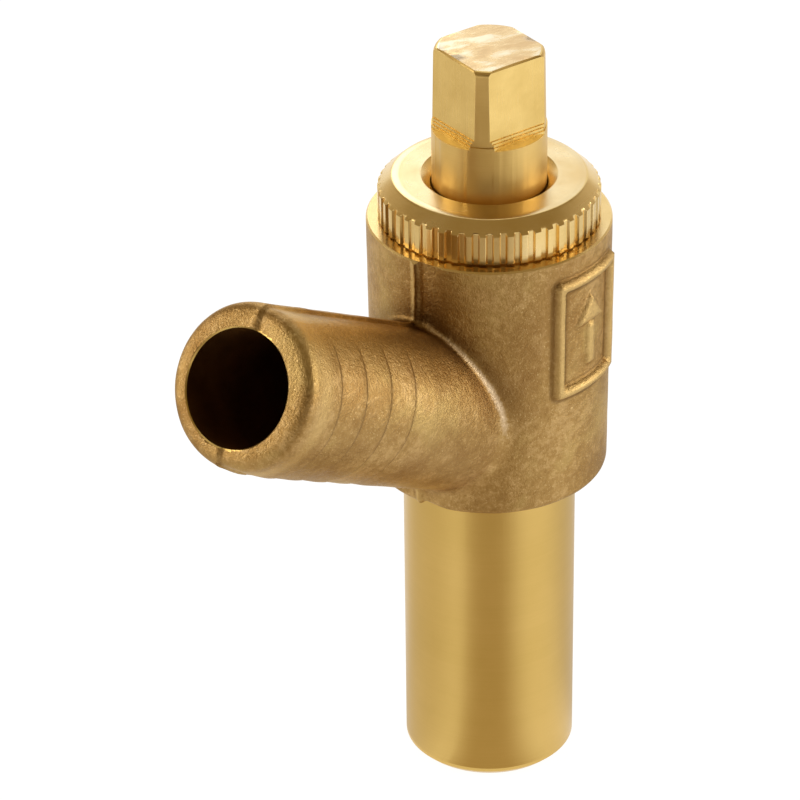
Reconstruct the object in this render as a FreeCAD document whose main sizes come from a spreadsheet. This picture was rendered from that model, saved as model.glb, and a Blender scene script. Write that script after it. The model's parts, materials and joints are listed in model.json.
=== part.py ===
import FreeCAD, Part
import os

import Sketcher
from FreeCAD import Rotation, Vector

# Lockshield drain cock for a 15 mm fitting, in brass, in millimetres.
# The barrel's axis is Z, the spigot's end is at Z = 0, and the hose tail rises towards +X in the XZ plane.
# The valve is drawn closed: the washer lies on its seat.

# Driving dimensions, each set by itself
SIZES = {
    "spigot_diameter": ("15.0", "plain spigot, the size of 15 mm pipe"),
    "spigot_length": ("29.25", "spigot's end to the barrel's underside"),
    "spigot_chamfer": ("0.5", "chamfer at the spigot's end"),
    "inlet_bore": ("9.5", "water way up the spigot"),
    "inlet_depth": ("27.0", "depth of the inlet bore"),
    "barrel_diameter": ("20.8", "barrel at its top rim"),
    "barrel_height": ("23.75", "barrel from its underside to its rim"),
    "barrel_draft": ("0.5", "die draft of the barrel's side, in degrees"),
    "barrel_edge": ("0.6", "rounding of the barrel's lower edge"),
    "seam_width": ("0.9", "width of the trimmed seam where the dies met"),
    "seam_rise": ("0.2", "height of that seam above the barrel's side"),
    "frame_height": ("11.4", "raised frame on the barrel's side, over its bars"),
    "frame_middle_rise": ("16.15", "frame's middle above the barrel's underside"),
    "frame_spread": ("47.2", "angle that the frame takes of the barrel's side, in degrees"),
    "frame_bar": ("1.3", "width of the frame's bars"),
    "frame_rise": ("0.45", "top of the frame's bars above the rim's radius"),
    "frame_floor_rise": ("0.05", "panel inside the frame, above the rim's radius"),
    "frame_root": ("1.0", "depth to which the frame is sunk in the barrel's wall"),
    "arrow_length": ("6.8", "plain flow arrow on the panel, tip to foot"),
    "arrow_shaft_width": ("1.1", "width of the arrow's shaft"),
    "arrow_head_length": ("2.7", "length of the arrow's head"),
    "arrow_head_width": ("3.8", "width of the arrow's head"),
    "arrow_rise": ("0.35", "flat face of the arrow above the rim's radius"),
    "floor_thickness": ("2.35", "metal under the valve chamber's floor"),
    "chamber_diameter": ("16.0", "valve chamber and the thread above it"),
    "port_diameter": ("8.5", "water ways through the seat and out of the chamber"),
    "seat_rise": ("1.2", "seat's height above the chamber's floor"),
    "seat_width": ("0.9", "flat top of the seat's ring"),
    "seat_flare": ("0.4", "how far the seat's ring widens to its foot"),
    "outlet_margin": ("0.6", "floor left between the seat and the outlet port"),
    "tail_tilt": ("29.25", "rise of the hose tail above level, in degrees"),
    "tail_axis_rise": ("3.95", "tail's axis on the barrel's axis, above the barrel's underside"),
    "tail_length": ("38.9", "tail's end from the barrel's axis, along the tail"),
    "tail_diameter": ("13.9", "tail over its barbs, for half inch hose"),
    "tail_neck_length": ("19.57", "plain tail from the barrel's axis to the first barb's heel"),
    "tail_bore": ("9.64", "outlet bore in the tail"),
    "tail_bore_depth": ("24.5", "depth of the outlet bore"),
    "tail_mouth_chamfer": ("0.25", "chamfer of the outlet's mouth"),
    "tail_end_round": ("0.9", "rounding of the tail's end"),
    "tail_root_blend": ("0.8", "fillet where the tail leaves the barrel"),
    "barb_count": ("4", "barbs along the tail"),
    "barb_depth": ("0.3", "depth of a barb's step, deepest at the tail's sides"),
    "barb_land": ("0.6", "plain crest between one barb's step and the next one's ramp"),
    "barb_lead": ("4.65", "plain length from the last barb to the tail's end"),
    "barb_spread": ("55", "angle from the tail's side at which a barb has faded out, in degrees"),
    "gland_diameter": ("18.82", "gland nut over its knurl"),
    "gland_height": ("3.85", "gland nut above the barrel's rim"),
    "gland_chamfer_height": ("1.1", "height of the chamfer over the knurl"),
    "gland_chamfer_width": ("1.19", "width of the chamfer over the knurl"),
    "gland_bore_clearance": ("0.125", "gap between the stem and the gland nut, on the radius"),
    "gland_countersink": ("0.72", "countersink round the stem"),
    "gland_thread_length": ("3.5", "gland nut's shank below the rim"),
    "knurl_count": ("50", "grooves of the straight knurl"),
    "knurl_depth": ("0.24", "depth of a knurl groove"),
    "knurl_mouth": ("0.68", "width of a knurl groove at its mouth"),
    "knurl_root": ("0.42", "width of a knurl groove at its bottom"),
    "thread_clearance": ("0.06", "gap between mating threads, on the radius"),
    "seal_thickness": ("1.0", "sealing ring under the gland nut"),
    "seal_width": ("0.8", "ring width of that seal"),
    "seal_clearance": ("0.05", "gap round that seal, on the radius"),
    "stem_diameter": ("9.7", "round stem of the spindle"),
    "stem_exposed": ("4.45", "stem between the gland nut and the square's ledge"),
    "head_height": ("7.28", "square head above its ledge"),
    "head_corner_diameter": ("9.48", "turned corners of the square, at the bottom"),
    "head_corner_top_diameter": ("9.26", "turned corners of the square, at the top"),
    "head_width": ("7.55", "square across flats at the bottom"),
    "head_top_width": ("7.22", "square across flats at the top"),
    "head_round": ("0.5", "rounding of the square's turned corners at the top"),
    "head_step": ("0.11", "each of the two milling steps at a flat's foot, outwards"),
    "head_step_height": ("0.3", "height of a milling step"),
    "head_corner_lift": ("0.3", "height at which the corners begin above the ledge"),
    "head_angle": ("-16.35", "turn of the square about the stem when the valve is shut, in degrees"),
    "collar_height": ("3.0", "threaded collar of the spindle"),
    "collar_chamfer": ("0.4", "chamfer of the collar's edges"),
    "travel_room": ("3.1", "room for the collar to rise under the gland nut"),
    "foot_diameter": ("8.4", "spindle's foot below its collar"),
    "o_ring_section": ("1.6", "thickness of the stem's O-ring"),
    "o_ring_squeeze_gap": ("0.03", "gap between the O-ring and the gland nut's bore, on the radius"),
    "o_ring_room": ("0.3", "room above and below the O-ring in its groove"),
    "o_ring_height": ("1.35", "O-ring's middle above the gland nut's lower end"),
    "jumper_diameter": ("12.4", "valve plate"),
    "jumper_thickness": ("1.6", "thickness of the valve plate"),
    "jumper_stem_diameter": ("4.8", "stem in the spindle's foot"),
    "jumper_stem_length": ("6.1", "length of that stem"),
    "jumper_end_gap": ("0.3", "hole beyond the stem's end"),
    "jumper_fit": ("0.05", "gap between that stem and its hole, on the radius"),
    "jumper_chamfer": ("0.3", "chamfer of the stem and the stud"),
    "stud_diameter": ("4.0", "stud under the plate"),
    "stud_end": ("0.7", "stud beyond its nut"),
    "clip_wire": ("0.7", "wire of the spring ring on the jumper's stem"),
    "clip_height": ("3.6", "spring ring above the valve plate"),
    "clip_opening": ("50", "opening of the spring ring, in degrees"),
    "clip_clearance": ("0.1", "gap round the spring ring's wire"),
    "washer_diameter": ("12.0", "rubber washer"),
    "washer_thickness": ("2.6", "thickness of the rubber washer"),
    "washer_hole_clearance": ("0.05", "gap between the washer and the stud, on the radius"),
    "nut_width": ("6.5", "washer nut across flats"),
    "nut_thickness": ("2.2", "thickness of the washer nut"),
    "nut_chamfer": ("0.35", "chamfer of the washer nut's corners"),
}

# Sizes and places worked out from the driving dimensions
WORKED_OUT = {
    "spigot_radius": "=spigot_diameter / 2",
    "spigot_end_radius": "=spigot_radius - spigot_chamfer",
    "barrel_top": "=spigot_length + barrel_height",
    "barrel_radius": "=barrel_diameter / 2",
    "barrel_base_radius": "=barrel_radius - barrel_height * tan(barrel_draft * 1deg)",
    "seam_base": "=spigot_length + barrel_edge",
    "seam_base_reach": "=barrel_base_radius + barrel_edge * tan(barrel_draft * 1deg) + seam_rise",
    "seam_base_other_reach": "=-seam_base_reach",
    "seam_top_reach": "=barrel_radius + seam_rise",
    "seam_top_other_reach": "=-seam_top_reach",
    "frame_radius": "=barrel_radius + frame_rise",
    "frame_root_radius": "=barrel_radius - frame_root",
    "frame_floor_radius": "=barrel_radius + frame_floor_rise",
    "frame_tool_radius": "=frame_radius + frame_rise",
    "frame_base": "=spigot_length + frame_middle_rise - frame_height / 2",
    "frame_top": "=frame_base + frame_height",
    "frame_inner_base": "=frame_base + frame_bar",
    "frame_inner_top": "=frame_top - frame_bar",
    "frame_inner_spread": "=frame_spread - 2 * frame_bar / frame_radius * 180 / pi",
    "arrow_face": "=barrel_radius + arrow_rise",
    "arrow_offset": "=-arrow_face",
    "arrow_depth": "=arrow_face - frame_root_radius",
    "arrow_tip": "=spigot_length + frame_middle_rise + arrow_length / 2",
    "arrow_base": "=arrow_tip - arrow_length",
    "arrow_neck": "=arrow_tip - arrow_head_length",
    "arrow_side": "=arrow_shaft_width / 2",
    "arrow_other_side": "=-arrow_side",
    "arrow_head_side": "=arrow_head_width / 2",
    "arrow_head_other_side": "=-arrow_head_side",
    "inlet_radius": "=inlet_bore / 2",
    "port_radius": "=port_diameter / 2",
    "chamber_radius": "=chamber_diameter / 2",
    "chamber_floor": "=spigot_length + floor_thickness",
    "seat_top": "=chamber_floor + seat_rise",
    "seat_radius": "=port_radius + seat_width",
    "seat_foot_radius": "=seat_radius + seat_flare",
    "seal_bottom": "=barrel_top - seal_thickness",
    "seal_inner_radius": "=chamber_radius + seal_clearance",
    "seal_outer_radius": "=seal_inner_radius + seal_width",
    "seal_recess_radius": "=seal_outer_radius + seal_clearance",
    "tail_axis_height": "=spigot_length + tail_axis_rise",
    "tail_radius": "=tail_diameter / 2",
    "tail_bore_radius": "=tail_bore / 2",
    "tail_bore_start": "=tail_length - tail_bore_depth",
    "tail_mouth_start": "=tail_length - tail_mouth_chamfer",
    "tail_mouth_radius": "=tail_bore_radius + tail_mouth_chamfer",
    "outlet_reach": "=seat_foot_radius + outlet_margin - port_radius * sin(tail_tilt * 1deg)",
    "port_start": "=outlet_reach / cos(tail_tilt * 1deg)",
    "barb_pitch": "=(tail_length - barb_lead - tail_neck_length) / barb_count",
    "barb_tip": "=tail_neck_length + barb_pitch",
    "barb_root_radius": "=tail_radius - barb_depth",
    "barb_slope": "=barb_depth / (barb_pitch - barb_land)",
    "barb_tool_radius": "=tail_radius + barb_slope * barb_land",
    "barb_fade": "=tail_radius * (1 - cos(barb_spread * 1deg)) - barb_depth",
    "barb_offset": "=-barb_depth * (tail_radius - barb_depth / 2) / barb_fade",
    "barb_row": "=(barb_count - 1) * barb_pitch",
    "gland_radius": "=gland_diameter / 2",
    "gland_top": "=barrel_top + gland_height",
    "gland_chamfer_start": "=gland_top - gland_chamfer_height",
    "gland_top_radius": "=gland_radius - gland_chamfer_width",
    "gland_bore_radius": "=stem_radius + gland_bore_clearance",
    "gland_mouth_radius": "=gland_bore_radius + gland_countersink",
    "gland_mouth_start": "=gland_top - gland_countersink",
    "gland_end": "=barrel_top - gland_thread_length",
    "gland_thread_radius": "=chamber_radius - thread_clearance",
    "knurl_root_radius": "=gland_radius - knurl_depth",
    "knurl_tool_radius": "=gland_radius + knurl_depth",
    "knurl_root_side": "=knurl_root / 2",
    "knurl_root_other_side": "=-knurl_root_side",
    "knurl_tool_side": "=knurl_mouth - knurl_root_side",
    "knurl_tool_other_side": "=-knurl_tool_side",
    "stem_radius": "=stem_diameter / 2",
    "head_base": "=gland_top + stem_exposed",
    "head_top": "=head_base + head_height",
    "head_corner_base": "=head_base + head_corner_lift",
    "head_corner_radius": "=head_corner_diameter / 2",
    "head_corner_top_radius": "=head_corner_top_diameter / 2",
    "head_half_width": "=head_width / 2",
    "head_half_top_width": "=head_top_width / 2",
    "head_low_step": "=head_half_width + 2 * head_step",
    "head_high_step": "=head_half_width + head_step",
    "head_low_step_top": "=head_base + head_step_height",
    "head_high_step_top": "=head_base + 2 * head_step_height",
    "head_cutter_reach": "=stem_diameter",
    "head_cutter_width": "=2 * stem_diameter",
    "collar_top": "=gland_end - travel_room",
    "collar_base": "=collar_top - collar_height",
    "collar_radius": "=chamber_radius - thread_clearance",
    "collar_edge_radius": "=collar_radius - collar_chamfer",
    "collar_base_edge": "=collar_base + collar_chamfer",
    "collar_top_edge": "=collar_top - collar_chamfer",
    "foot_radius": "=foot_diameter / 2",
    "o_ring_middle": "=gland_end + o_ring_height",
    "o_ring_wire": "=o_ring_section / 2",
    "o_ring_radius": "=gland_bore_radius - o_ring_squeeze_gap - o_ring_wire",
    "o_ring_groove_radius": "=o_ring_radius - o_ring_wire - o_ring_squeeze_gap",
    "o_ring_groove_base": "=o_ring_middle - o_ring_wire - o_ring_room",
    "o_ring_groove_top": "=o_ring_middle + o_ring_wire + o_ring_room",
    "washer_top": "=seat_top + washer_thickness",
    "washer_radius": "=washer_diameter / 2",
    "washer_hole_radius": "=stud_radius + washer_hole_clearance",
    "plate_top": "=washer_top + jumper_thickness",
    "plate_radius": "=jumper_diameter / 2",
    "stud_radius": "=stud_diameter / 2",
    "stud_tip_radius": "=stud_radius - jumper_chamfer",
    "nut_bottom": "=seat_top - nut_thickness",
    "nut_corner_radius": "=nut_width / 2 / cos(30deg)",
    "nut_half_width": "=nut_width / 2",
    "nut_cutter_width": "=2 * nut_width",
    "nut_edge_radius": "=nut_corner_radius - nut_chamfer",
    "nut_chamfer_end": "=nut_bottom + nut_chamfer",
    "nut_hole_radius": "=stud_radius + thread_clearance",
    "stud_bottom": "=nut_bottom - stud_end",
    "stud_tip": "=stud_bottom + jumper_chamfer",
    "jumper_stem_radius": "=jumper_stem_diameter / 2",
    "jumper_stem_tip_radius": "=jumper_stem_radius - jumper_chamfer",
    "jumper_stem_top": "=plate_top + jumper_stem_length",
    "jumper_stem_tip": "=jumper_stem_top - jumper_chamfer",
    "jumper_hole_radius": "=jumper_stem_radius + jumper_fit",
    "jumper_hole_top": "=jumper_stem_top + jumper_end_gap",
    "clip_middle": "=plate_top + clip_height",
    "clip_groove_base": "=clip_middle - clip_wire / 2 - clip_clearance",
    "clip_groove_top": "=clip_middle + clip_wire / 2 + clip_clearance",
    "clip_wire_radius": "=clip_wire / 2",
    "clip_groove_radius": "=jumper_stem_radius - clip_wire / 2 - clip_clearance",
    "clip_pocket_radius": "=jumper_stem_radius + clip_wire / 2 + clip_clearance",
    "clip_sweep": "=360 - clip_opening",
}

DIMS = "dims"
ON_AXIS = "0"
FIRST_INDEX, SECOND_INDEX = 1, 2
ORIGIN_INDEX, ORIGIN_POINT_INDEX = -1, 1
LEVEL_AXIS_INDEX, UPRIGHT_AXIS_INDEX = -1, -2
SAME = 1e-4
UP = Vector(0, 0, 1)
SQUARE_SIDES = "4"
HEXAGON_SIDES = "6"

# The hose tail's sketches stand in the XZ plane, with their level axis along the tail
TAIL_OFFSETS = {
    "Base.y": f"{DIMS}.tail_axis_height",
    "Rotation.Yaw": f"{DIMS}.tail_tilt",
}

doc = FreeCAD.newDocument("drain_cock")
sheet = doc.addObject("Spreadsheet::Sheet", DIMS)


def fill_sheet():
    """Write the driving dimensions and what follows from them into the sheet."""
    row = 0
    for name, (number, meaning) in SIZES.items():
        row += 1
        sheet.set(f"A{row}", name)
        sheet.set(f"B{row}", number)
        sheet.setAlias(f"B{row}", name)
        sheet.set(f"C{row}", meaning)
    for name, formula in WORKED_OUT.items():
        row += 1
        sheet.set(f"A{row}", name)
        sheet.set(f"B{row}", formula)
        sheet.setAlias(f"B{row}", name)
    doc.recompute()


def size(name):
    """Give a cell's number, or zero for a coordinate on an axis."""
    return 0.0 if name == ON_AXIS else float(sheet.get(name))


def new_body(label):
    """Start an empty body."""
    body = doc.addObject("PartDesign::Body", label)
    body.Label = label
    return body


def origin_feature(body, role):
    """Find one of a body's own origin planes or axes."""
    return next(item for item in body.Origin.OriginFeatures if item.Role == role)


def new_sketch(body, name, plane="XZ_Plane", offsets=None):
    """Attach a sketch to an origin plane, moved and turned by expressions."""
    sketch = body.newObject("Sketcher::SketchObject", name)
    sketch.AttachmentSupport = [(origin_feature(body, plane), "")]
    sketch.MapMode = "FlatFace"
    for path, expression in (offsets or {}).items():
        sketch.setExpression(f"AttachmentOffset.{path}", expression)
    return sketch


def bind_point(sketch, line, point, x, y):
    """Tie one end of a line to a pair of cells."""
    for kind, name, axis in (("DistanceX", x, UPRIGHT_AXIS_INDEX), ("DistanceY", y, LEVEL_AXIS_INDEX)):
        if name == ON_AXIS:
            sketch.addConstraint(Sketcher.Constraint("PointOnObject", line, point, axis))
        else:
            rule = Sketcher.Constraint(kind, ORIGIN_INDEX, ORIGIN_POINT_INDEX, line, point, size(name))
            index = sketch.addConstraint(rule)
            sketch.setExpression(f"Constraints[{index}]", f"{DIMS}.{name}")


def draw_outline(sketch, corners):
    """Draw a closed outline through corners given as pairs of cells."""
    points = [Vector(size(x), size(y), 0) for x, y in corners]
    count = len(points)
    for index in range(count):
        sketch.addGeometry(Part.LineSegment(points[index], points[(index + 1) % count]), False)
    for index in range(count):
        sketch.addConstraint(Sketcher.Constraint("Coincident", index, SECOND_INDEX, (index + 1) % count, FIRST_INDEX))
    for index, (x, y) in enumerate(corners):
        bind_point(sketch, index, FIRST_INDEX, x, y)


def recompute_cut(body, before):
    """Recompute a body and make sure that its last feature took metal away."""
    doc.recompute()
    if not body.Shape.Volume < before:
        raise RuntimeError(f"{body.Label}: {body.Tip.Label} cut nothing")


def set_sweep(feature, sweep):
    """Turn a feature through a full turn, or through a cell's angle, half to each side."""
    if sweep is None:
        feature.Angle = 360
    else:
        feature.Midplane = True
        feature.setExpression("Angle", f"{DIMS}.{sweep}")


def turn(body, name, corners, axis="V_Axis", plane="XZ_Plane", offsets=None, sweep=None):
    """Turn an outline about an axis of its sketch and add it to the body."""
    sketch = new_sketch(body, f"{name}_outline", plane=plane, offsets=offsets)
    draw_outline(sketch, corners)
    feature = body.newObject("PartDesign::Revolution", name)
    feature.Profile = sketch
    feature.ReferenceAxis = (sketch, [axis])
    set_sweep(feature, sweep)
    doc.recompute()
    return feature


def turn_out(body, name, sketch, axis, sweep=None):
    """Turn a drawn outline about an axis of its sketch and take it out of the body."""
    before = body.Shape.Volume
    feature = body.newObject("PartDesign::Groove", name)
    feature.Profile = sketch
    feature.ReferenceAxis = (sketch, [axis])
    set_sweep(feature, sweep)
    recompute_cut(body, before)
    return feature


def bore_out(body, name, corners, axis="V_Axis", plane="XZ_Plane", offsets=None, sweep=None):
    """Bore an outline out of the body, about an axis of its sketch."""
    sketch = new_sketch(body, f"{name}_outline", plane=plane, offsets=offsets)
    draw_outline(sketch, corners)
    return turn_out(body, name, sketch, axis, sweep)


def repeat_round(body, name, feature, count):
    """Repeat a feature evenly round the Z axis."""
    pattern = body.newObject("PartDesign::PolarPattern", name)
    pattern.Originals = [feature]
    pattern.Axis = (origin_feature(body, "Z_Axis"), [""])
    pattern.Angle = 360
    pattern.setExpression("Occurrences", count)
    body.Tip = pattern
    doc.recompute()


def mill_flats(body, name, corners, width, sides):
    """Mill one flat, from the outline of its side view, and repeat it round the axis."""
    sketch = new_sketch(body, f"{name}_outline")
    draw_outline(sketch, corners)
    before = body.Shape.Volume
    flat = body.newObject("PartDesign::Pocket", f"{name}_flat")
    flat.Profile = sketch
    flat.Midplane = True
    flat.setExpression("Length", f"{DIMS}.{width}")
    recompute_cut(body, before)
    repeat_round(body, f"{name}_flats", flat, sides)


def round_edges(body, name, base, edges, radius):
    """Round named edges of a feature."""
    feature = body.newObject("PartDesign::Fillet", name)
    feature.Base = (base, edges)
    feature.setExpression("Radius", f"{DIMS}.{radius}")
    doc.recompute()
    return feature


def circle_edges(feature, centre, radius):
    """Name the round edges of a feature that have this centre and radius."""
    names = []
    for number, edge in enumerate(feature.Shape.Edges, start=1):
        curve = edge.Curve
        if not isinstance(curve, Part.Circle):
            continue
        if (curve.Center - centre).Length < SAME and abs(curve.Radius - radius) < SAME:
            names.append(f"Edge{number}")
    return names


def turned_about(face, direction):
    """Say whether a face is a cylinder or cone about a direction."""
    surface = face.Surface
    if not isinstance(surface, (Part.Cylinder, Part.Cone)):
        return False
    return surface.Axis.cross(direction).Length < SAME


def meeting_edges(feature, direction, other_direction):
    """Name the edges where a face about one direction meets a face about another."""
    names = []
    for number, edge in enumerate(feature.Shape.Edges, start=1):
        faces = feature.Shape.ancestorsOfType(edge, Part.Face)
        along = any(turned_about(face, direction) for face in faces)
        across = any(turned_about(face, other_direction) for face in faces)
        if along and across:
            names.append(f"Edge{number}")
    return names


def tail_direction():
    """Give the direction in which the hose tail points."""
    return Rotation(Vector(0, 1, 0), -size("tail_tilt")).multVec(Vector(1, 0, 0))


def tail_end_point():
    """Give the middle of the hose tail's end."""
    return UP * size("tail_axis_height") + tail_direction() * size("tail_length")


def cut_barbs(body, side, roll):
    """Cut one side's row of barbs, turned about an axis beyond the tail's own so that they fade out."""
    sketch = new_sketch(body, f"barb_outline_{side}", offsets={**TAIL_OFFSETS, "Rotation.Roll": roll})
    draw_outline(sketch, [("tail_neck_length", "barb_tool_radius"), ("barb_tip", "barb_root_radius"),
                          ("barb_tip", "barb_tool_radius")])
    ends = [("tail_neck_length", "barb_offset"), ("barb_tip", "barb_offset")]
    line = sketch.addGeometry(Part.LineSegment(*[Vector(size(x), size(y), 0) for x, y in ends]), True)
    for point, (x, y) in zip((FIRST_INDEX, SECOND_INDEX), ends):
        bind_point(sketch, line, point, x, y)
    barb = turn_out(body, f"barb_{side}", sketch, "Axis0")
    row = body.newObject("PartDesign::LinearPattern", f"barbs_{side}")
    row.Originals = [barb]
    row.Direction = (sketch, ["H_Axis"])
    row.setExpression("Length", f"{DIMS}.barb_row")
    row.setExpression("Occurrences", f"{DIMS}.barb_count")
    body.Tip = row
    doc.recompute()


def raise_seam(body):
    """Add the low seam that the dies leave up both sides of the barrel."""
    sketch = new_sketch(body, "seam_outline")
    draw_outline(sketch, [
        ("seam_base_other_reach", "seam_base"), ("seam_base_reach", "seam_base"),
        ("seam_top_reach", "barrel_top"), ("seam_top_other_reach", "barrel_top")])
    seam = body.newObject("PartDesign::Pad", "seam")
    seam.Profile = sketch
    seam.Midplane = True
    seam.setExpression("Length", f"{DIMS}.seam_width")
    doc.recompute()


def raise_frame(body):
    """Add the raised frame, with its plain panel, on the barrel's side."""
    turn(body, "frame", [
        ("frame_root_radius", "frame_base"), ("frame_radius", "frame_base"),
        ("frame_radius", "frame_top"), ("frame_root_radius", "frame_top")],
        plane="YZ_Plane", sweep="frame_spread")
    bore_out(body, "panel", [
        ("frame_floor_radius", "frame_inner_base"), ("frame_tool_radius", "frame_inner_base"),
        ("frame_tool_radius", "frame_inner_top"), ("frame_floor_radius", "frame_inner_top")],
        plane="YZ_Plane", sweep="frame_inner_spread")


def raise_arrow(body):
    """Add the plain flow arrow on the panel."""
    sketch = new_sketch(body, "arrow_outline", offsets={"Base.z": f"{DIMS}.arrow_offset"})
    draw_outline(sketch, [
        ("arrow_side", "arrow_base"), ("arrow_side", "arrow_neck"), ("arrow_head_side", "arrow_neck"),
        (ON_AXIS, "arrow_tip"), ("arrow_head_other_side", "arrow_neck"), ("arrow_other_side", "arrow_neck"),
        ("arrow_other_side", "arrow_base")])
    arrow = body.newObject("PartDesign::Pad", "arrow")
    arrow.Profile = sketch
    arrow.setExpression("Length", f"{DIMS}.arrow_depth")
    doc.recompute()


def make_valve_body():
    """Stamped body: spigot, barrel and hose tail in one piece, with its water ways."""
    body = new_body("valve_body")
    turn(body, "barrel", [
        (ON_AXIS, ON_AXIS), ("spigot_end_radius", ON_AXIS), ("spigot_radius", "spigot_chamfer"),
        ("spigot_radius", "spigot_length"), ("barrel_base_radius", "spigot_length"),
        ("barrel_radius", "barrel_top"), (ON_AXIS, "barrel_top")])
    tail = turn(body, "tail", [
        (ON_AXIS, ON_AXIS), (ON_AXIS, "tail_radius"), ("tail_length", "tail_radius"), ("tail_length", ON_AXIS)],
        axis="H_Axis", offsets=TAIL_OFFSETS)
    crease = meeting_edges(tail, tail_direction(), UP)
    blended = round_edges(body, "root_blend", tail, crease, "tail_root_blend")
    tail_end = circle_edges(blended, tail_end_point(), size("tail_radius"))
    rounded = round_edges(body, "end_round", blended, tail_end, "tail_end_round")
    underside = circle_edges(rounded, UP * size("spigot_length"), size("barrel_base_radius"))
    round_edges(body, "underside_round", rounded, underside, "barrel_edge")
    raise_seam(body)
    raise_frame(body)
    raise_arrow(body)
    bore_out(body, "bore", [
        (ON_AXIS, ON_AXIS), ("inlet_radius", ON_AXIS), ("inlet_radius", "inlet_depth"),
        ("port_radius", "inlet_depth"), ("port_radius", "seat_top"), ("seat_radius", "seat_top"),
        ("seat_foot_radius", "chamber_floor"), ("chamber_radius", "chamber_floor"),
        ("chamber_radius", "seal_bottom"), ("seal_recess_radius", "seal_bottom"),
        ("seal_recess_radius", "barrel_top"), (ON_AXIS, "barrel_top")])
    bore_out(body, "outlet", [
        ("port_start", ON_AXIS), ("port_start", "port_radius"), ("tail_bore_start", "port_radius"),
        ("tail_bore_start", "tail_bore_radius"), ("tail_mouth_start", "tail_bore_radius"),
        ("tail_length", "tail_mouth_radius"), ("tail_length", ON_AXIS)],
        axis="H_Axis", offsets=TAIL_OFFSETS)
    cut_barbs(body, "left", "90")
    cut_barbs(body, "right", "-90")
    return body


def make_gland_nut():
    """Knurled ring that screws into the barrel and guides the stem."""
    body = new_body("gland_nut")
    turn(body, "ring", [
        ("gland_bore_radius", "gland_end"), ("gland_thread_radius", "gland_end"),
        ("gland_thread_radius", "barrel_top"), ("gland_radius", "barrel_top"),
        ("gland_radius", "gland_chamfer_start"), ("gland_top_radius", "gland_top"),
        ("gland_mouth_radius", "gland_top"), ("gland_bore_radius", "gland_mouth_start")])
    sketch = new_sketch(body, "knurl_outline", plane="XY_Plane", offsets={"Base.z": f"{DIMS}.barrel_top"})
    draw_outline(sketch, [
        ("knurl_root_radius", "knurl_root_other_side"), ("knurl_tool_radius", "knurl_tool_other_side"),
        ("knurl_tool_radius", "knurl_tool_side"), ("knurl_root_radius", "knurl_root_side")])
    before = body.Shape.Volume
    groove = body.newObject("PartDesign::Pocket", "knurl_groove")
    groove.Profile = sketch
    groove.Reversed = True
    groove.setExpression("Length", f"{DIMS}.gland_height")
    recompute_cut(body, before)
    repeat_round(body, "knurl", groove, f"{DIMS}.knurl_count")
    return body


def make_gland_seal():
    """Flat sealing ring in the recess of the barrel's rim."""
    body = new_body("gland_seal")
    turn(body, "seal_ring", [
        ("seal_inner_radius", "seal_bottom"), ("seal_outer_radius", "seal_bottom"),
        ("seal_outer_radius", "barrel_top"), ("seal_inner_radius", "barrel_top")])
    return body


def make_spindle():
    """Spindle: square head, round stem, threaded collar and a foot with the jumper's hole."""
    body = new_body("spindle")
    stem = turn(body, "stem", [
        ("jumper_hole_radius", "plate_top"), ("foot_radius", "plate_top"), ("foot_radius", "collar_base"),
        ("collar_edge_radius", "collar_base"), ("collar_radius", "collar_base_edge"),
        ("collar_radius", "collar_top_edge"), ("collar_edge_radius", "collar_top"),
        ("stem_radius", "collar_top"), ("stem_radius", "o_ring_groove_base"),
        ("o_ring_groove_radius", "o_ring_groove_base"), ("o_ring_groove_radius", "o_ring_groove_top"),
        ("stem_radius", "o_ring_groove_top"), ("stem_radius", "head_corner_base"),
        ("head_corner_radius", "head_corner_base"), ("head_corner_top_radius", "head_top"),
        (ON_AXIS, "head_top"), (ON_AXIS, "jumper_hole_top"),
        ("jumper_hole_radius", "jumper_hole_top"), ("jumper_hole_radius", "clip_groove_top"),
        ("clip_pocket_radius", "clip_groove_top"), ("clip_pocket_radius", "clip_groove_base"),
        ("jumper_hole_radius", "clip_groove_base")])
    top_edge = circle_edges(stem, UP * size("head_top"), size("head_corner_top_radius"))
    round_edges(body, "top_round", stem, top_edge, "head_round")
    mill_flats(body, "square", [
        ("head_low_step", "head_base"), ("head_low_step", "head_low_step_top"),
        ("head_high_step", "head_low_step_top"), ("head_high_step", "head_high_step_top"),
        ("head_half_width", "head_high_step_top"), ("head_half_top_width", "head_top"),
        ("head_cutter_reach", "head_top"), ("head_cutter_reach", "head_base")],
        "head_cutter_width", SQUARE_SIDES)
    body.setExpression("Placement.Rotation.Yaw", f"{DIMS}.head_angle")
    return body


def make_spindle_o_ring():
    """O-ring in the stem's groove."""
    ring = doc.addObject("Part::Torus", "spindle_o_ring")
    ring.setExpression("Radius1", f"{DIMS}.o_ring_radius")
    ring.setExpression("Radius2", f"{DIMS}.o_ring_wire")
    ring.setExpression("Placement.Base.z", f"{DIMS}.o_ring_middle")
    return ring


def make_jumper():
    """Valve plate with its stem above and its stud below."""
    body = new_body("jumper")
    turn(body, "plate", [
        (ON_AXIS, "stud_bottom"), ("stud_tip_radius", "stud_bottom"), ("stud_radius", "stud_tip"),
        ("stud_radius", "washer_top"), ("plate_radius", "washer_top"), ("plate_radius", "plate_top"),
        ("jumper_stem_radius", "plate_top"), ("jumper_stem_radius", "clip_groove_base"),
        ("clip_groove_radius", "clip_groove_base"), ("clip_groove_radius", "clip_groove_top"),
        ("jumper_stem_radius", "clip_groove_top"), ("jumper_stem_radius", "jumper_stem_tip"),
        ("jumper_stem_tip_radius", "jumper_stem_top"), (ON_AXIS, "jumper_stem_top")])
    return body


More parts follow.
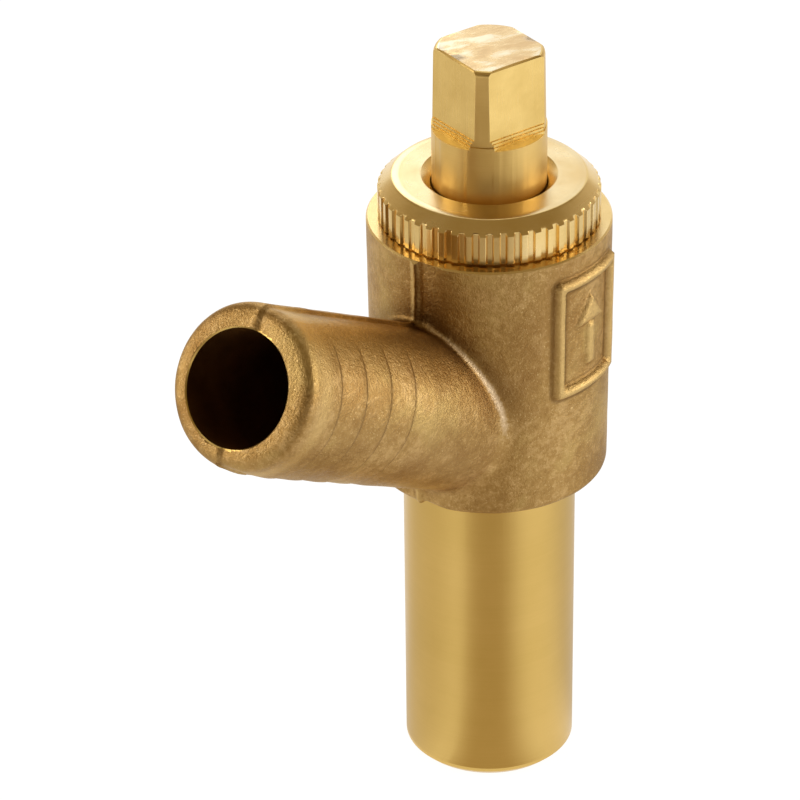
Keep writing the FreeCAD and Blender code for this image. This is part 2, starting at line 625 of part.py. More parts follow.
def make_jumper_clip():
    """Open spring ring that keeps the jumper's stem in the spindle's foot."""
    clip = doc.addObject("Part::Torus", "jumper_clip")
    clip.setExpression("Radius1", f"{DIMS}.jumper_stem_radius")
    clip.setExpression("Radius2", f"{DIMS}.clip_wire_radius")
    clip.setExpression("Angle3", f"{DIMS}.clip_sweep")
    clip.setExpression("Placement.Base.z", f"{DIMS}.clip_middle")
    return clip


def make_seat_washer():
    """Rubber washer that closes on the seat."""
    body = new_body("seat_washer")
    turn(body, "washer_ring", [
        ("washer_hole_radius", "seat_top"), ("washer_radius", "seat_top"),
        ("washer_radius", "washer_top"), ("washer_hole_radius", "washer_top")])
    return body


def make_washer_nut():
    """Hexagon nut under the washer."""
    body = new_body("washer_nut")
    turn(body, "nut_blank", [
        ("nut_hole_radius", "nut_bottom"), ("nut_edge_radius", "nut_bottom"),
        ("nut_corner_radius", "nut_chamfer_end"), ("nut_corner_radius", "seat_top"),
        ("nut_hole_radius", "seat_top")])
    mill_flats(body, "hexagon", [
        ("nut_half_width", "nut_bottom"), ("nut_width", "nut_bottom"),
        ("nut_width", "seat_top"), ("nut_half_width", "seat_top")],
        "nut_cutter_width", HEXAGON_SIDES)
    return body


def write_steps(pieces):
    """Check every object and write each piece to a file named after it."""
    for item in doc.Objects:
        if {"Invalid", "Error"} & set(item.State):
            raise RuntimeError(f"{item.Label}: {item.State}")
    for piece in pieces:
        shape = piece.Shape
        if shape.isNull() or not shape.isValid() or len(shape.Solids) != 1:
            raise RuntimeError(f"{piece.Label}: not one valid solid")
    os.makedirs("parts", exist_ok=True)
    for piece in pieces:
        piece.Shape.exportStep(f"parts/{piece.Label}.step")


def main():
    """Build every piece and write it."""
    fill_sheet()
    pieces = [
        make_valve_body(), make_gland_nut(), make_gland_seal(), make_spindle(), make_spindle_o_ring(),
        make_jumper(), make_jumper_clip(), make_seat_washer(), make_washer_nut(),
    ]
    doc.recompute()
    write_steps(pieces)


main()
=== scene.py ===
import enum
import json
import logging
import math
from dataclasses import dataclass, field
from typing import Callable, Sequence

import bmesh
import bpy
import numpy as np
from mathutils import Matrix, Vector, noise


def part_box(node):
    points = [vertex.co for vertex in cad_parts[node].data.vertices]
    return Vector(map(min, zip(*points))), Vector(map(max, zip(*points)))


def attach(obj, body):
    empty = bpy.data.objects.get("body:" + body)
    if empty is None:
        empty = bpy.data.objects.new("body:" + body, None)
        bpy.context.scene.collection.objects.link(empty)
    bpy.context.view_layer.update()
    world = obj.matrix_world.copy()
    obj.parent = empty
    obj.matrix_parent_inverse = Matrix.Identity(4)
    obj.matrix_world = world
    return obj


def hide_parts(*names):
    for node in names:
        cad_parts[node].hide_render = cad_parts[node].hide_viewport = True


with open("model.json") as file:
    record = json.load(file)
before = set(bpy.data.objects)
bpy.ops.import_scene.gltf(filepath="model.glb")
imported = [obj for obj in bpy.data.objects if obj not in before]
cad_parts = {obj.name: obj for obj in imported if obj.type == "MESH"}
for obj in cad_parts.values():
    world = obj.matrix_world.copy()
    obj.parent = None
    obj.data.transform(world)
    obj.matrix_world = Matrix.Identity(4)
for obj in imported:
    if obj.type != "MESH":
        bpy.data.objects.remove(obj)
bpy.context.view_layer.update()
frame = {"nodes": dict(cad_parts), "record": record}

log = logging.getLogger("drain_cock")

# Pieces are modelled in millimetres and brought to metres when they are placed
MM = 0.001
MERGE = 1e-5
FULL_TURN = 2 * math.pi
UP = Vector((0, 0, 1))
ORIGIN = Vector((0, 0, 0))

Outline = Sequence[tuple[float, float]]
Colour = tuple[float, float, float, float]


class Join(enum.Enum):
    """Ways to join a tool to a piece."""

    ADD = "UNION"
    CUT = "DIFFERENCE"


class Skin(enum.IntEnum):
    """Material slots of the stamped body."""

    STAMPED = 0
    MACHINED = 1
    WATER_WAY = 2
    RIM = 3


class Face(enum.IntEnum):
    """Material slots of the spindle."""

    TURNED = 0
    MILLED = 1
    CROPPED = 2
    LEDGE = 3


class RingFace(enum.IntEnum):
    """Material slots of the gland nut."""

    TURNED = 0
    FACED = 1


def mount(name: str) -> dict:
    """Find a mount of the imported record.

    Args:
        name: The mount's name.

    Returns:
        The mount as the record has it.
    """
    return next(m for m in frame["record"]["mounts"] if m["name"] == name)


def box_mm(node: str) -> tuple[Vector, Vector]:
    """Give a node's lowest and highest corners.

    Args:
        node: The CAD node's name.

    Returns:
        Both corners, in millimetres.
    """
    low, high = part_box(node)
    return Vector(low) / MM, Vector(high) / MM


def smooth_step(low: float, high: float, value: np.ndarray) -> np.ndarray:
    """Rise smoothly from 0 at low to 1 at high.

    Args:
        low: Value at which the rise starts.
        high: Value at which it ends.
        value: Values to look up.

    Returns:
        The risen share of each value.
    """
    t = np.clip((value - low) / (high - low), 0.0, 1.0)
    return t * t * (3 - 2 * t)


def rounded_corner(a: np.ndarray, b: np.ndarray, radius: float) -> np.ndarray:
    """Distance from a corner of two square faces, rounded by a radius.

    Args:
        a: Distance outside the first face.
        b: Distance outside the second face.
        radius: Radius of the rounding.

    Returns:
        Distance outside the rounded corner, negative inside.
    """
    a, b = a + radius, b + radius
    outside = np.hypot(np.maximum(a, 0), np.maximum(b, 0))
    return outside + np.minimum(np.maximum(a, b), 0) - radius


def rounded_union(a: np.ndarray, b: np.ndarray, radius: float) -> np.ndarray:
    """Distance from two shapes that meet in a fillet.

    Args:
        a: Distance outside the first shape.
        b: Distance outside the second shape.
        radius: Radius of the fillet.

    Returns:
        Distance outside the joined shape.
    """
    u, v = np.maximum(radius - a, 0), np.maximum(radius - b, 0)
    return np.maximum(radius, np.minimum(a, b)) - np.hypot(u, v)


def box_distance(x: np.ndarray, y: np.ndarray, half_width: float, half_height: float,
                 radius: float) -> np.ndarray:
    """Distance from a flat box with rounded corners.

    Args:
        x: Places across the box.
        y: Places up the box.
        half_width: Half of its width.
        half_height: Half of its height.
        radius: Radius of its corners.

    Returns:
        Distance outside the box, negative inside.
    """
    return rounded_corner(np.abs(x) - half_width, np.abs(y) - half_height, radius)


def new_object(name: str, mesh: bpy.types.Mesh) -> bpy.types.Object:
    """Put a mesh into the scene.

    Args:
        name: The object's name.
        mesh: Its mesh.

    Returns:
        The new object, at the origin.
    """
    made = bpy.data.objects.new(name, mesh)
    bpy.context.scene.collection.objects.link(made)
    return made


def object_from(bm: bmesh.types.BMesh, name: str) -> bpy.types.Object:
    """Make an object of a bmesh and free the bmesh.

    Args:
        bm: The mesh that was modelled.
        name: The object's name.

    Returns:
        The new object.
    """
    mesh = bpy.data.meshes.new(name)
    bm.to_mesh(mesh)
    bm.free()
    return new_object(name, mesh)


def spun(outline: Outline, steps: int, cuts: dict[int, int] | None = None,
         place: Matrix | None = None) -> bmesh.types.BMesh:
    """Spin an outline of radii and heights about Z into a closed skin.

    Args:
        outline: Corners as pairs of radius and height.
        steps: Faces round the axis.
        cuts: Extra rows on an edge, by the number of the edge's first corner.
        place: Where the spun shape goes.

    Returns:
        The spun mesh.
    """
    bm = bmesh.new()
    corners = [bm.verts.new((r, 0, z)) for r, z in outline]
    edges = {}
    for index, corner in enumerate(corners):
        after = corners[(index + 1) % len(corners)]
        if corner.co.x > MERGE or after.co.x > MERGE:
            edges[index] = bm.edges.new((corner, after))
    for index, rows in (cuts or {}).items():
        bmesh.ops.subdivide_edges(bm, edges=[edges[index]], cuts=rows)
    bmesh.ops.spin(bm, geom=bm.verts[:] + bm.edges[:], cent=ORIGIN, axis=UP, angle=FULL_TURN,
                   steps=steps, use_merge=True)
    bmesh.ops.remove_doubles(bm, verts=bm.verts, dist=MERGE)
    bmesh.ops.recalc_face_normals(bm, faces=bm.faces)
    if place is not None:
        bmesh.ops.transform(bm, matrix=place, verts=bm.verts)
    return bm


def bake_modifiers(piece: bpy.types.Object) -> None:
    """Make what the modifiers give the piece's own mesh.

    Args:
        piece: The piece to bake.
    """
    graph = bpy.context.evaluated_depsgraph_get()
    made = bpy.data.meshes.new_from_object(piece.evaluated_get(graph))
    old = piece.data
    piece.modifiers.clear()
    piece.data = made
    bpy.data.meshes.remove(old)


def join(piece: bpy.types.Object, tool: bmesh.types.BMesh, way: Join) -> None:
    """Add a tool's shape to a piece, or cut it out.

    Args:
        piece: The piece to work on.
        tool: The other shape, which is used up.
        way: Whether it is added or cut out.
    """
    other = object_from(tool, "tool")
    step = piece.modifiers.new("join", "BOOLEAN")
    step.operation, step.solver, step.object = way.value, "MANIFOLD", other
    bake_modifiers(piece)
    used = other.data
    bpy.data.objects.remove(other)
    bpy.data.meshes.remove(used)


def places(mesh: bpy.types.Mesh) -> np.ndarray:
    """Give a mesh's vertices as rows of three numbers."""
    flat = np.empty(len(mesh.vertices) * 3)
    mesh.vertices.foreach_get("co", flat)
    return flat.reshape(-1, 3)


def set_places(mesh: bpy.types.Mesh, points: np.ndarray) -> None:
    """Move a mesh's vertices to rows of three numbers."""
    mesh.vertices.foreach_set("co", points.ravel())
    mesh.update()


def face_middles(mesh: bpy.types.Mesh) -> np.ndarray:
    """Give the middles of a mesh's faces."""
    flat = np.empty(len(mesh.polygons) * 3)
    mesh.polygons.foreach_get("center", flat)
    return flat.reshape(-1, 3)


def face_normals(mesh: bpy.types.Mesh) -> np.ndarray:
    """Give the normals of a mesh's faces."""
    flat = np.empty(len(mesh.polygons) * 3)
    mesh.polygons.foreach_get("normal", flat)
    return flat.reshape(-1, 3)


def shade(mesh: bpy.types.Mesh, sharp_angle: float, soft_slot: int | None = None) -> None:
    """Shade a mesh smoothly, with its hard edges kept.

    Args:
        mesh: The mesh to shade.
        sharp_angle: Angle from which an edge is hard, in degrees.
        soft_slot: Slot with no hard edges inside it, or None.
    """
    bm = bmesh.new()
    bm.from_mesh(mesh)
    limit = math.radians(sharp_angle)
    for face in bm.faces:
        face.smooth = True
    for edge in bm.edges:
        slots = {face.material_index for face in edge.link_faces}
        if slots != {soft_slot}:
            edge.smooth = not (edge.is_manifold and edge.calc_face_angle() > limit)
    bm.to_mesh(mesh)
    bm.free()


def square_up(mesh: bpy.types.Mesh, slots: Sequence[int], least_area: float) -> None:
    """Harden the edges of large plane faces and of each slot, so that no shading runs across them.

    Args:
        mesh: Mesh in millimetres.
        slots: Slots of the faces.
        least_area: Smallest area of such a face.
    """
    bm = bmesh.new()
    bm.from_mesh(mesh)
    for edge in bm.edges:
        kinds = {face.material_index for face in edge.link_faces}
        plane = [face.material_index in slots and face.calc_area() > least_area for face in edge.link_faces]
        if len(kinds) > 1 or any(plane):
            edge.smooth = False
    bm.to_mesh(mesh)
    bm.free()


def store(mesh: bpy.types.Mesh, name: str, values: np.ndarray) -> None:
    """Keep a number for every vertex, for the material to read.

    Args:
        mesh: The mesh that gets the numbers.
        name: The attribute's name.
        values: One number for each vertex.
    """
    layer = mesh.attributes.new(name, "FLOAT", "POINT")
    layer.data.foreach_set("value", values.astype(np.float32))


def to_metres(piece: bpy.types.Object) -> None:
    """Bring a piece from millimetres to metres."""
    piece.data.transform(Matrix.Scale(MM, 4))
    piece.data.update()


def place_piece(piece: bpy.types.Object, body: str, node: str,
                finishes: Sequence[bpy.types.Material]) -> None:
    """Dress a piece and let it stand for its CAD node.

    Args:
        piece: The finished piece, in metres.
        body: The body that it rides on.
        node: The node that it stands for.
        finishes: Materials in the order of the piece's slots.
    """
    indices = [0] * len(piece.data.polygons)
    piece.data.polygons.foreach_get("material_index", indices)
    piece.data.materials.clear()
    for finish in finishes:
        piece.data.materials.append(finish)
    piece.data.polygons.foreach_set("material_index", indices)
    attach(piece, body)
    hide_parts(node)
    triangles = sum(len(face.vertices) - 2 for face in piece.data.polygons)
    log.info("%s: %d triangles, rides on %s", piece.name, triangles, body)


class Shader:
    """Nodes of one material, read in millimetres on the piece's own coordinates."""

    def __init__(self, name: str) -> None:
        """Start a material with its shader and its coordinates."""
        self.material = bpy.data.materials.new(name)
        self.material.use_nodes = True
        self.tree = self.material.node_tree
        self.surface = self.tree.nodes["Principled BSDF"]
        where = self.add("ShaderNodeTexCoord")
        scaled = self.add("ShaderNodeMapping")
        scaled.inputs["Scale"].default_value = (1 / MM,) * 3
        self.link(where.outputs["Object"], scaled.inputs["Vector"])
        self.place = scaled.outputs["Vector"]

    def add(self, kind: str, **settings: object) -> bpy.types.Node:
        """Add a node and set its own settings."""
        node = self.tree.nodes.new(kind)
        for name, value in settings.items():
            setattr(node, name, value)
        return node

    def link(self, start: bpy.types.NodeSocket, end: bpy.types.NodeSocket) -> None:
        """Join an output to an input."""
        self.tree.links.new(start, end)

    def stretched(self, scale: tuple[float, float, float], turn: float = 0.0) -> bpy.types.NodeSocket:
        """Give the coordinates turned about Z and stretched.

        Args:
            scale: Stretch along each axis.
            turn: Turn about Z before the stretch, in degrees.

        Returns:
            The stretched coordinates.
        """
        turned = self.add("ShaderNodeMapping")
        turned.inputs["Rotation"].default_value = (0, 0, -math.radians(turn))
        self.link(self.place, turned.inputs["Vector"])
        drawn = self.add("ShaderNodeMapping")
        drawn.inputs["Scale"].default_value = scale
        self.link(turned.outputs["Vector"], drawn.inputs["Vector"])
        return drawn.outputs["Vector"]

    def lathe_place(self) -> bpy.types.NodeSocket:
        """Give radius and height in place of the coordinates, so that a pattern runs round Z."""
        flat = self.add("ShaderNodeVectorMath", operation="MULTIPLY")
        flat.inputs[1].default_value = (1, 1, 0)
        self.link(self.place, flat.inputs[0])
        radius = self.add("ShaderNodeVectorMath", operation="LENGTH")
        self.link(flat.outputs["Vector"], radius.inputs[0])
        parts = self.add("ShaderNodeSeparateXYZ")
        self.link(self.place, parts.inputs["Vector"])
        both = self.add("ShaderNodeCombineXYZ")
        self.link(radius.outputs["Value"], both.inputs["X"])
        self.link(parts.outputs["Z"], both.inputs["Z"])
        return both.outputs["Vector"]

    def noise(self, vector: bpy.types.NodeSocket, scale: float, detail: float = 2.0,
              roughness: float = 0.5) -> bpy.types.NodeSocket:
        """Give cloudy noise.

        Args:
            vector: Coordinates in millimetres.
            scale: Clouds in a millimetre.
            detail: Octaves added.
            roughness: Share of each octave.

        Returns:
            A number from 0 to 1.
        """
        cloud = self.add("ShaderNodeTexNoise")
        cloud.inputs["Scale"].default_value = scale
        cloud.inputs["Detail"].default_value = detail
        cloud.inputs["Roughness"].default_value = roughness
        self.link(vector, cloud.inputs["Vector"])
        return cloud.outputs["Fac"]

    def spread(self, value: bpy.types.NodeSocket, low: float, high: float, to_low: float,
               to_high: float) -> bpy.types.NodeSocket:
        """Spread a range of numbers over another.

        Args:
            value: The number.
            low: Lower end of its range.
            high: Upper end of its range.
            to_low: What the lower end becomes.
            to_high: What the upper end becomes.

        Returns:
            The spread number.
        """
        node = self.add("ShaderNodeMapRange")
        for name, number in (("From Min", low), ("From Max", high), ("To Min", to_low), ("To Max", to_high)):
            node.inputs[name].default_value = number
        self.link(value, node.inputs["Value"])
        return node.outputs["Result"]

    def height(self, axis: int) -> bpy.types.NodeSocket:
        """Give one coordinate of the place, in millimetres."""
        parts = self.add("ShaderNodeSeparateXYZ")
        self.link(self.place, parts.inputs["Vector"])
        return parts.outputs[axis]

    def all_of(self, shares: Sequence[bpy.types.NodeSocket]) -> bpy.types.NodeSocket:
        """Multiply shares, so that the result is full only where all of them are."""
        total = shares[0]
        for share in shares[1:]:
            product = self.add("ShaderNodeMath", operation="MULTIPLY")
            self.link(total, product.inputs[0])
            self.link(share, product.inputs[1])
            total = product.outputs["Value"]
        return total

    def sum(self, first: bpy.types.NodeSocket, second: bpy.types.NodeSocket, share: float) -> bpy.types.NodeSocket:
        """Add a share of one number to another."""
        node = self.add("ShaderNodeMath", operation="MULTIPLY_ADD")
        self.link(second, node.inputs[0])
        node.inputs[1].default_value = share
        self.link(first, node.inputs[2])
        return node.outputs["Value"]

    def ramp(self, value: bpy.types.NodeSocket, stops: Sequence[tuple[float, Colour]]) -> bpy.types.NodeSocket:
        """Turn a number into a colour.

        Args:
            value: The number.
            stops: Places from 0 to 1 with their colours.

        Returns:
            The colour.
        """
        node = self.add("ShaderNodeValToRGB")
        ramp = node.color_ramp
        while len(ramp.elements) < len(stops):
            ramp.elements.new(0.5)
        for element, (place, colour) in zip(ramp.elements, stops):
            element.position, element.color = place, colour
        self.link(value, node.inputs["Fac"])
        return node.outputs["Color"]

    def mix(self, share: bpy.types.NodeSocket, first: bpy.types.NodeSocket | Colour,
            second: bpy.types.NodeSocket | Colour) -> bpy.types.NodeSocket:
        """Mix two colours.

        Args:
            share: Share of the second one.
            first: First colour.
            second: Second colour.

        Returns:
            The mixed colour.
        """
        node = self.add("ShaderNodeMix", data_type="RGBA")
        self.link(share, node.inputs["Factor"])
        for socket, colour in ((node.inputs[6], first), (node.inputs[7], second)):
            if isinstance(colour, tuple):
                socket.default_value = colour
            else:
                self.link(colour, socket)
        return node.outputs[2]

    def attribute(self, name: str) -> bpy.types.NodeSocket:
        """Give a number that the piece keeps for its vertices."""
        return self.add("ShaderNodeAttribute", attribute_name=name).outputs["Fac"]

    def bump(self, height: bpy.types.NodeSocket, depth_mm: float, strength: float,
             under: bpy.types.NodeSocket | None = None) -> bpy.types.NodeSocket:
        """Roughen the surface.

        Args:
            height: Height from 0 to 1.
            depth_mm: Depth of the relief, in millimetres.
            strength: Share of the relief that shows.
            under: Relief under this one.

        Returns:
            The bumped normal.
        """
        node = self.add("ShaderNodeBump")
        node.inputs["Strength"].default_value = strength
        node.inputs["Distance"].default_value = depth_mm * MM
        self.link(height, node.inputs["Height"])
        if under is not None:
            self.link(under, node.inputs["Normal"])
        return node.outputs["Normal"]

    def finish(self, colour: bpy.types.NodeSocket, roughness: bpy.types.NodeSocket, normal: bpy.types.NodeSocket,
               metallic: float, tint: Colour = (1, 1, 1, 1)) -> bpy.types.Material:
        """Join the three patterns to the shader.

        Args:
            colour: Base colour.
            roughness: Roughness.
            normal: Bumped normal.
            metallic: Whether it is metal, the same all over.
            tint: Tint of reflections that graze it.

        Returns:
            The finished material.
        """
        self.link(colour, self.surface.inputs["Base Color"])
        self.link(roughness, self.surface.inputs["Roughness"])
        self.link(normal, self.surface.inputs["Normal"])
        self.surface.inputs["Metallic"].default_value = metallic
        self.surface.inputs["Specular Tint"].default_value = tint
        return self.material


@dataclass(frozen=True)
class StampedFinish:
    """Shot blasted skin of the stamping."""

    name: str = "stamped_brass_skin"
    dark: Colour = (0.33, 0.185, 0.055, 1)
    middle: Colour = (0.445, 0.268, 0.09, 1)
    light: Colour = (0.57, 0.365, 0.145, 1)
    # Rubbed colour of raised edges, also used as a painted highlight
    rubbed_and_highlight: Colour = (0.74, 0.51, 0.20, 1)
    spark: Colour = (0.84, 0.61, 0.28, 1)
    stain: Colour = (0.30, 0.155, 0.045, 1)
    gilt: Colour = (0.60, 0.42, 0.15, 1)
    # Pale colour of the painted highlight along the tail's root
    crease_highlight: Colour = (0.88, 0.68, 0.45, 1)
    graze: Colour = (0.93, 0.86, 0.75, 1)
    # Colour of the painted shade in creases, steps and the seam's shaded flank
    painted_shade: Colour = (0.20, 0.105, 0.03, 1)
    cloud_scale: float = 0.25
    stain_scale: float = 0.17
    grain_scale: float = 4.0
    grain_depth: float = 0.1
    spark_scale: float = 6.5
    dent_scale: float = 1.5
    dent_depth: float = 0.05
    split_wander: float = 0.25
    smoothest: float = 0.29
    roughest: float = 0.47

    def material(self) -> bpy.types.Material:
        """Build the blasted skin's nodes."""
        s = Shader(self.name)
        cloud = s.noise(s.place, self.cloud_scale, 4.0, 0.6)
        grain = s.noise(s.place, self.grain_scale, 3.0, 0.7)
        dent = s.noise(s.place, self.dent_scale, 2.0, 0.55)
        mottled = s.sum(s.sum(s.sum(grain, grain, -0.5), dent, 0.6), cloud, 0.6)
        colour = s.ramp(mottled, [(0.55, self.dark), (0.85, self.middle), (1.05, self.light)])
        patch = s.noise(s.place, self.stain_scale, 3.0, 0.6)
        colour = s.mix(s.spread(patch, 0.52, 0.68, 0.0, 0.6), colour, self.stain)
        colour = s.mix(s.spread(patch, 0.46, 0.32, 0.0, 0.5), colour, self.gilt)
        spark = s.spread(s.noise(s.place, self.spark_scale, 1.0), 0.62, 0.8, 0.0, 0.6)
        colour = s.mix(spark, colour, self.spark)
        # Wear on the seam, frame and arrow, and a painted highlight behind the tail's lip
        colour = s.mix(s.spread(s.attribute("wear_and_highlight"), 0.15, 1.0, 0.0, 0.7), colour, self.rubbed_and_highlight)
        # Painted highlight: a pale line along the fillet between tail and barrel
        crease_highlight_share = s.spread(s.sum(s.sum(s.attribute("crease"), grain, 0.8), dent, 0.8), 1.1, 1.8, 0.0, 0.75)
        colour = s.mix(crease_highlight_share, colour, self.crease_highlight)
        # Painted highlight on the seam's left flank and painted shade on its right flank, where the dies met
        across = s.sum(s.height(1), dent, self.split_wander)
        bright = s.all_of([s.spread(across, -0.5, -0.4, 0.0, 1.0), s.spread(across, 0.0, 0.06, 1.0, 0.0), s.attribute("split")])
        shadow = s.all_of([s.spread(across, 0.04, 0.1, 0.0, 1.0), s.spread(across, 0.2, 0.5, 1.0, 0.0), s.attribute("split")])
        colour = s.mix(s.spread(bright, 0.0, 1.0, 0.0, 0.8), colour, self.rubbed_and_highlight)
        colour = s.mix(s.spread(shadow, 0.0, 1.0, 0.0, 0.85), colour, self.painted_shade)
        # Painted shade: darkens the crease above the tail, the seam's notch on the lip, the frame's foot and the
        # barbs' steps
        colour = s.mix(s.spread(s.attribute("painted_shade"), 0.0, 1.0, 0.0, 0.72), colour, self.painted_shade)
        roughness = s.sum(s.spread(grain, 0.3, 0.7, self.smoothest, self.roughest), spark, -0.1)
        relief = s.bump(dent, self.dent_depth, 0.5)
        relief = s.bump(grain, self.grain_depth, 0.75, relief)
        return s.finish(colour, roughness, relief, 1.0, self.graze)


@dataclass(frozen=True)
class TurnedFinish:
    """Brass from the lathe, with fine rings round the axis."""

    name: str
    dark: Colour
    light: Colour
    smoothest: float
    roughest: float
    ring_scale: float = 7.0
    ring_depth: float = 0.004
    cloud_scale: float = 0.22

    def material(self) -> bpy.types.Material:
        """Build the turned metal's nodes."""
        s = Shader(self.name)
        lathe = s.lathe_place()
        rings = s.noise(lathe, self.ring_scale, 3.0, 0.6)
        broad = s.noise(lathe, self.ring_scale / 9, 1.0)
        cloud = s.noise(s.place, self.cloud_scale, 3.0, 0.55)
        stain = s.sum(cloud, rings, 0.3)
        colour = s.ramp(stain, [(0.42, self.dark), (0.82, self.light)])
        roughness = s.spread(s.sum(cloud, broad, 0.6), 0.5, 1.1, self.smoothest, self.roughest)
        relief = s.bump(rings, self.ring_depth, 0.8)
        return s.finish(colour, roughness, relief, 1.0)


@dataclass(frozen=True)
class MilledFinish:
    """Brass from the mill, with fine marks up the flats."""

    name: str = "milled_brass_flats"
    dark: Colour = (0.75, 0.51, 0.16, 1)
    light: Colour = (0.88, 0.62, 0.215, 1)
    smoothest: float = 0.2
    roughest: float = 0.3
    mark_scale: float = 4.0
    mark_run: float = 0.2
    mark_depth: float = 0.0015
    dent_scale: float = 0.6
    dent_depth: float = 0.03
    turn: float = -16.35

    def material(self) -> bpy.types.Material:
        """Build the milled metal's nodes."""
        s = Shader(self.name)
        along = s.stretched((self.mark_scale, self.mark_scale, self.mark_run), self.turn)
        marks = s.noise(along, 1.0, 4.0, 0.65)
        cloud = s.noise(s.place, 0.3, 3.0, 0.55)
        colour = s.ramp(s.sum(cloud, marks, 0.2), [(0.4, self.dark), (0.76, self.light)])
        roughness = s.spread(marks, 0.35, 0.7, self.smoothest, self.roughest)
        uneven = s.bump(s.noise(s.place, self.dent_scale, 2.0), self.dent_depth, 0.8)
        relief = s.bump(marks, self.mark_depth, 0.8, uneven)
        return s.finish(colour, roughness, relief, 1.0)


@dataclass(frozen=True)
class CroppedFinish:
    """Cropped end of the bar, mottled and uneven, its pale colour partly the cut's own mottle and partly a painted
    highlight.
    """

    name: str = "cropped_head_highlight"
    # Pale tones partly stand in for a highlight on the top
    dark: Colour = (0.76, 0.52, 0.25, 1)
    middle: Colour = (0.85, 0.63, 0.33, 1)
    light: Colour = (0.95, 0.84, 0.60, 1)
    mottle_scale: float = 0.55
    dent_depth: float = 0.05

    def material(self) -> bpy.types.Material:
        """Build the cropped end's nodes."""
        s = Shader(self.name)
        drawn = s.stretched((0.6, 1.5, 1.0), -30)
        mottle = s.noise(drawn, self.mottle_scale, 4.0, 0.6)
        fine = s.noise(s.place, 5.0, 2.0)
        colour = s.ramp(mottle, [(0.36, self.dark), (0.5, self.middle), (0.62, self.light)])
        roughness = s.spread(s.sum(mottle, fine, 0.4), 0.5, 0.9, 0.2, 0.34)
        relief = s.bump(mottle, self.dent_depth, 0.9)
        return s.finish(colour, roughness, s.bump(fine, 0.006, 0.6, relief), 1.0)


@dataclass(frozen=True)
class RubberFinish:
    """Matt black rubber of the seals."""

    name: str = "black_seal_rubber"
    dark: Colour = (0.012, 0.012, 0.013, 1)
    light: Colour = (0.035, 0.034, 0.033, 1)

    def material(self) -> bpy.types.Material:
        """Build the rubber's nodes."""
        s = Shader(self.name)
        cloud = s.noise(s.place, 1.2, 4.0, 0.6)
        grain = s.noise(s.place, 9.0, 2.0)
        colour = s.ramp(cloud, [(0.3, self.dark), (0.75, self.light)])
        roughness = s.spread(grain, 0.3, 0.7, 0.55, 0.75)
        return s.finish(colour, roughness, s.bump(grain, 0.02, 0.5), 0.0)


@dataclass
class Arrow:
    """Plain raised flow arrow, pointing up."""

    half_length: float = 3.4
    shaft: float = 0.55
    head_length: float = 2.7
    head_half_width: float = 1.9
    rise: float = 0.34

    def distance(self, x: np.ndarray, y: np.ndarray) -> np.ndarray:
        """Distance outside the arrow on the unrolled barrel.

        Args:
            x: Places across it.
            y: Places along it.

        Returns:
            Distance outside, negative inside.
        """
        neck = self.half_length - self.head_length
        low = (neck - self.half_length) / 2
        shaft = box_distance(x, y - low, self.shaft, (neck + self.half_length) / 2, 0.2)
        slope = Vector((self.head_length, self.head_half_width)).normalized()
        flank = (np.abs(x) - self.head_half_width) * slope.x + (y - neck) * slope.y
        head = np.maximum(flank, neck - y)
        return np.minimum(shaft, head)


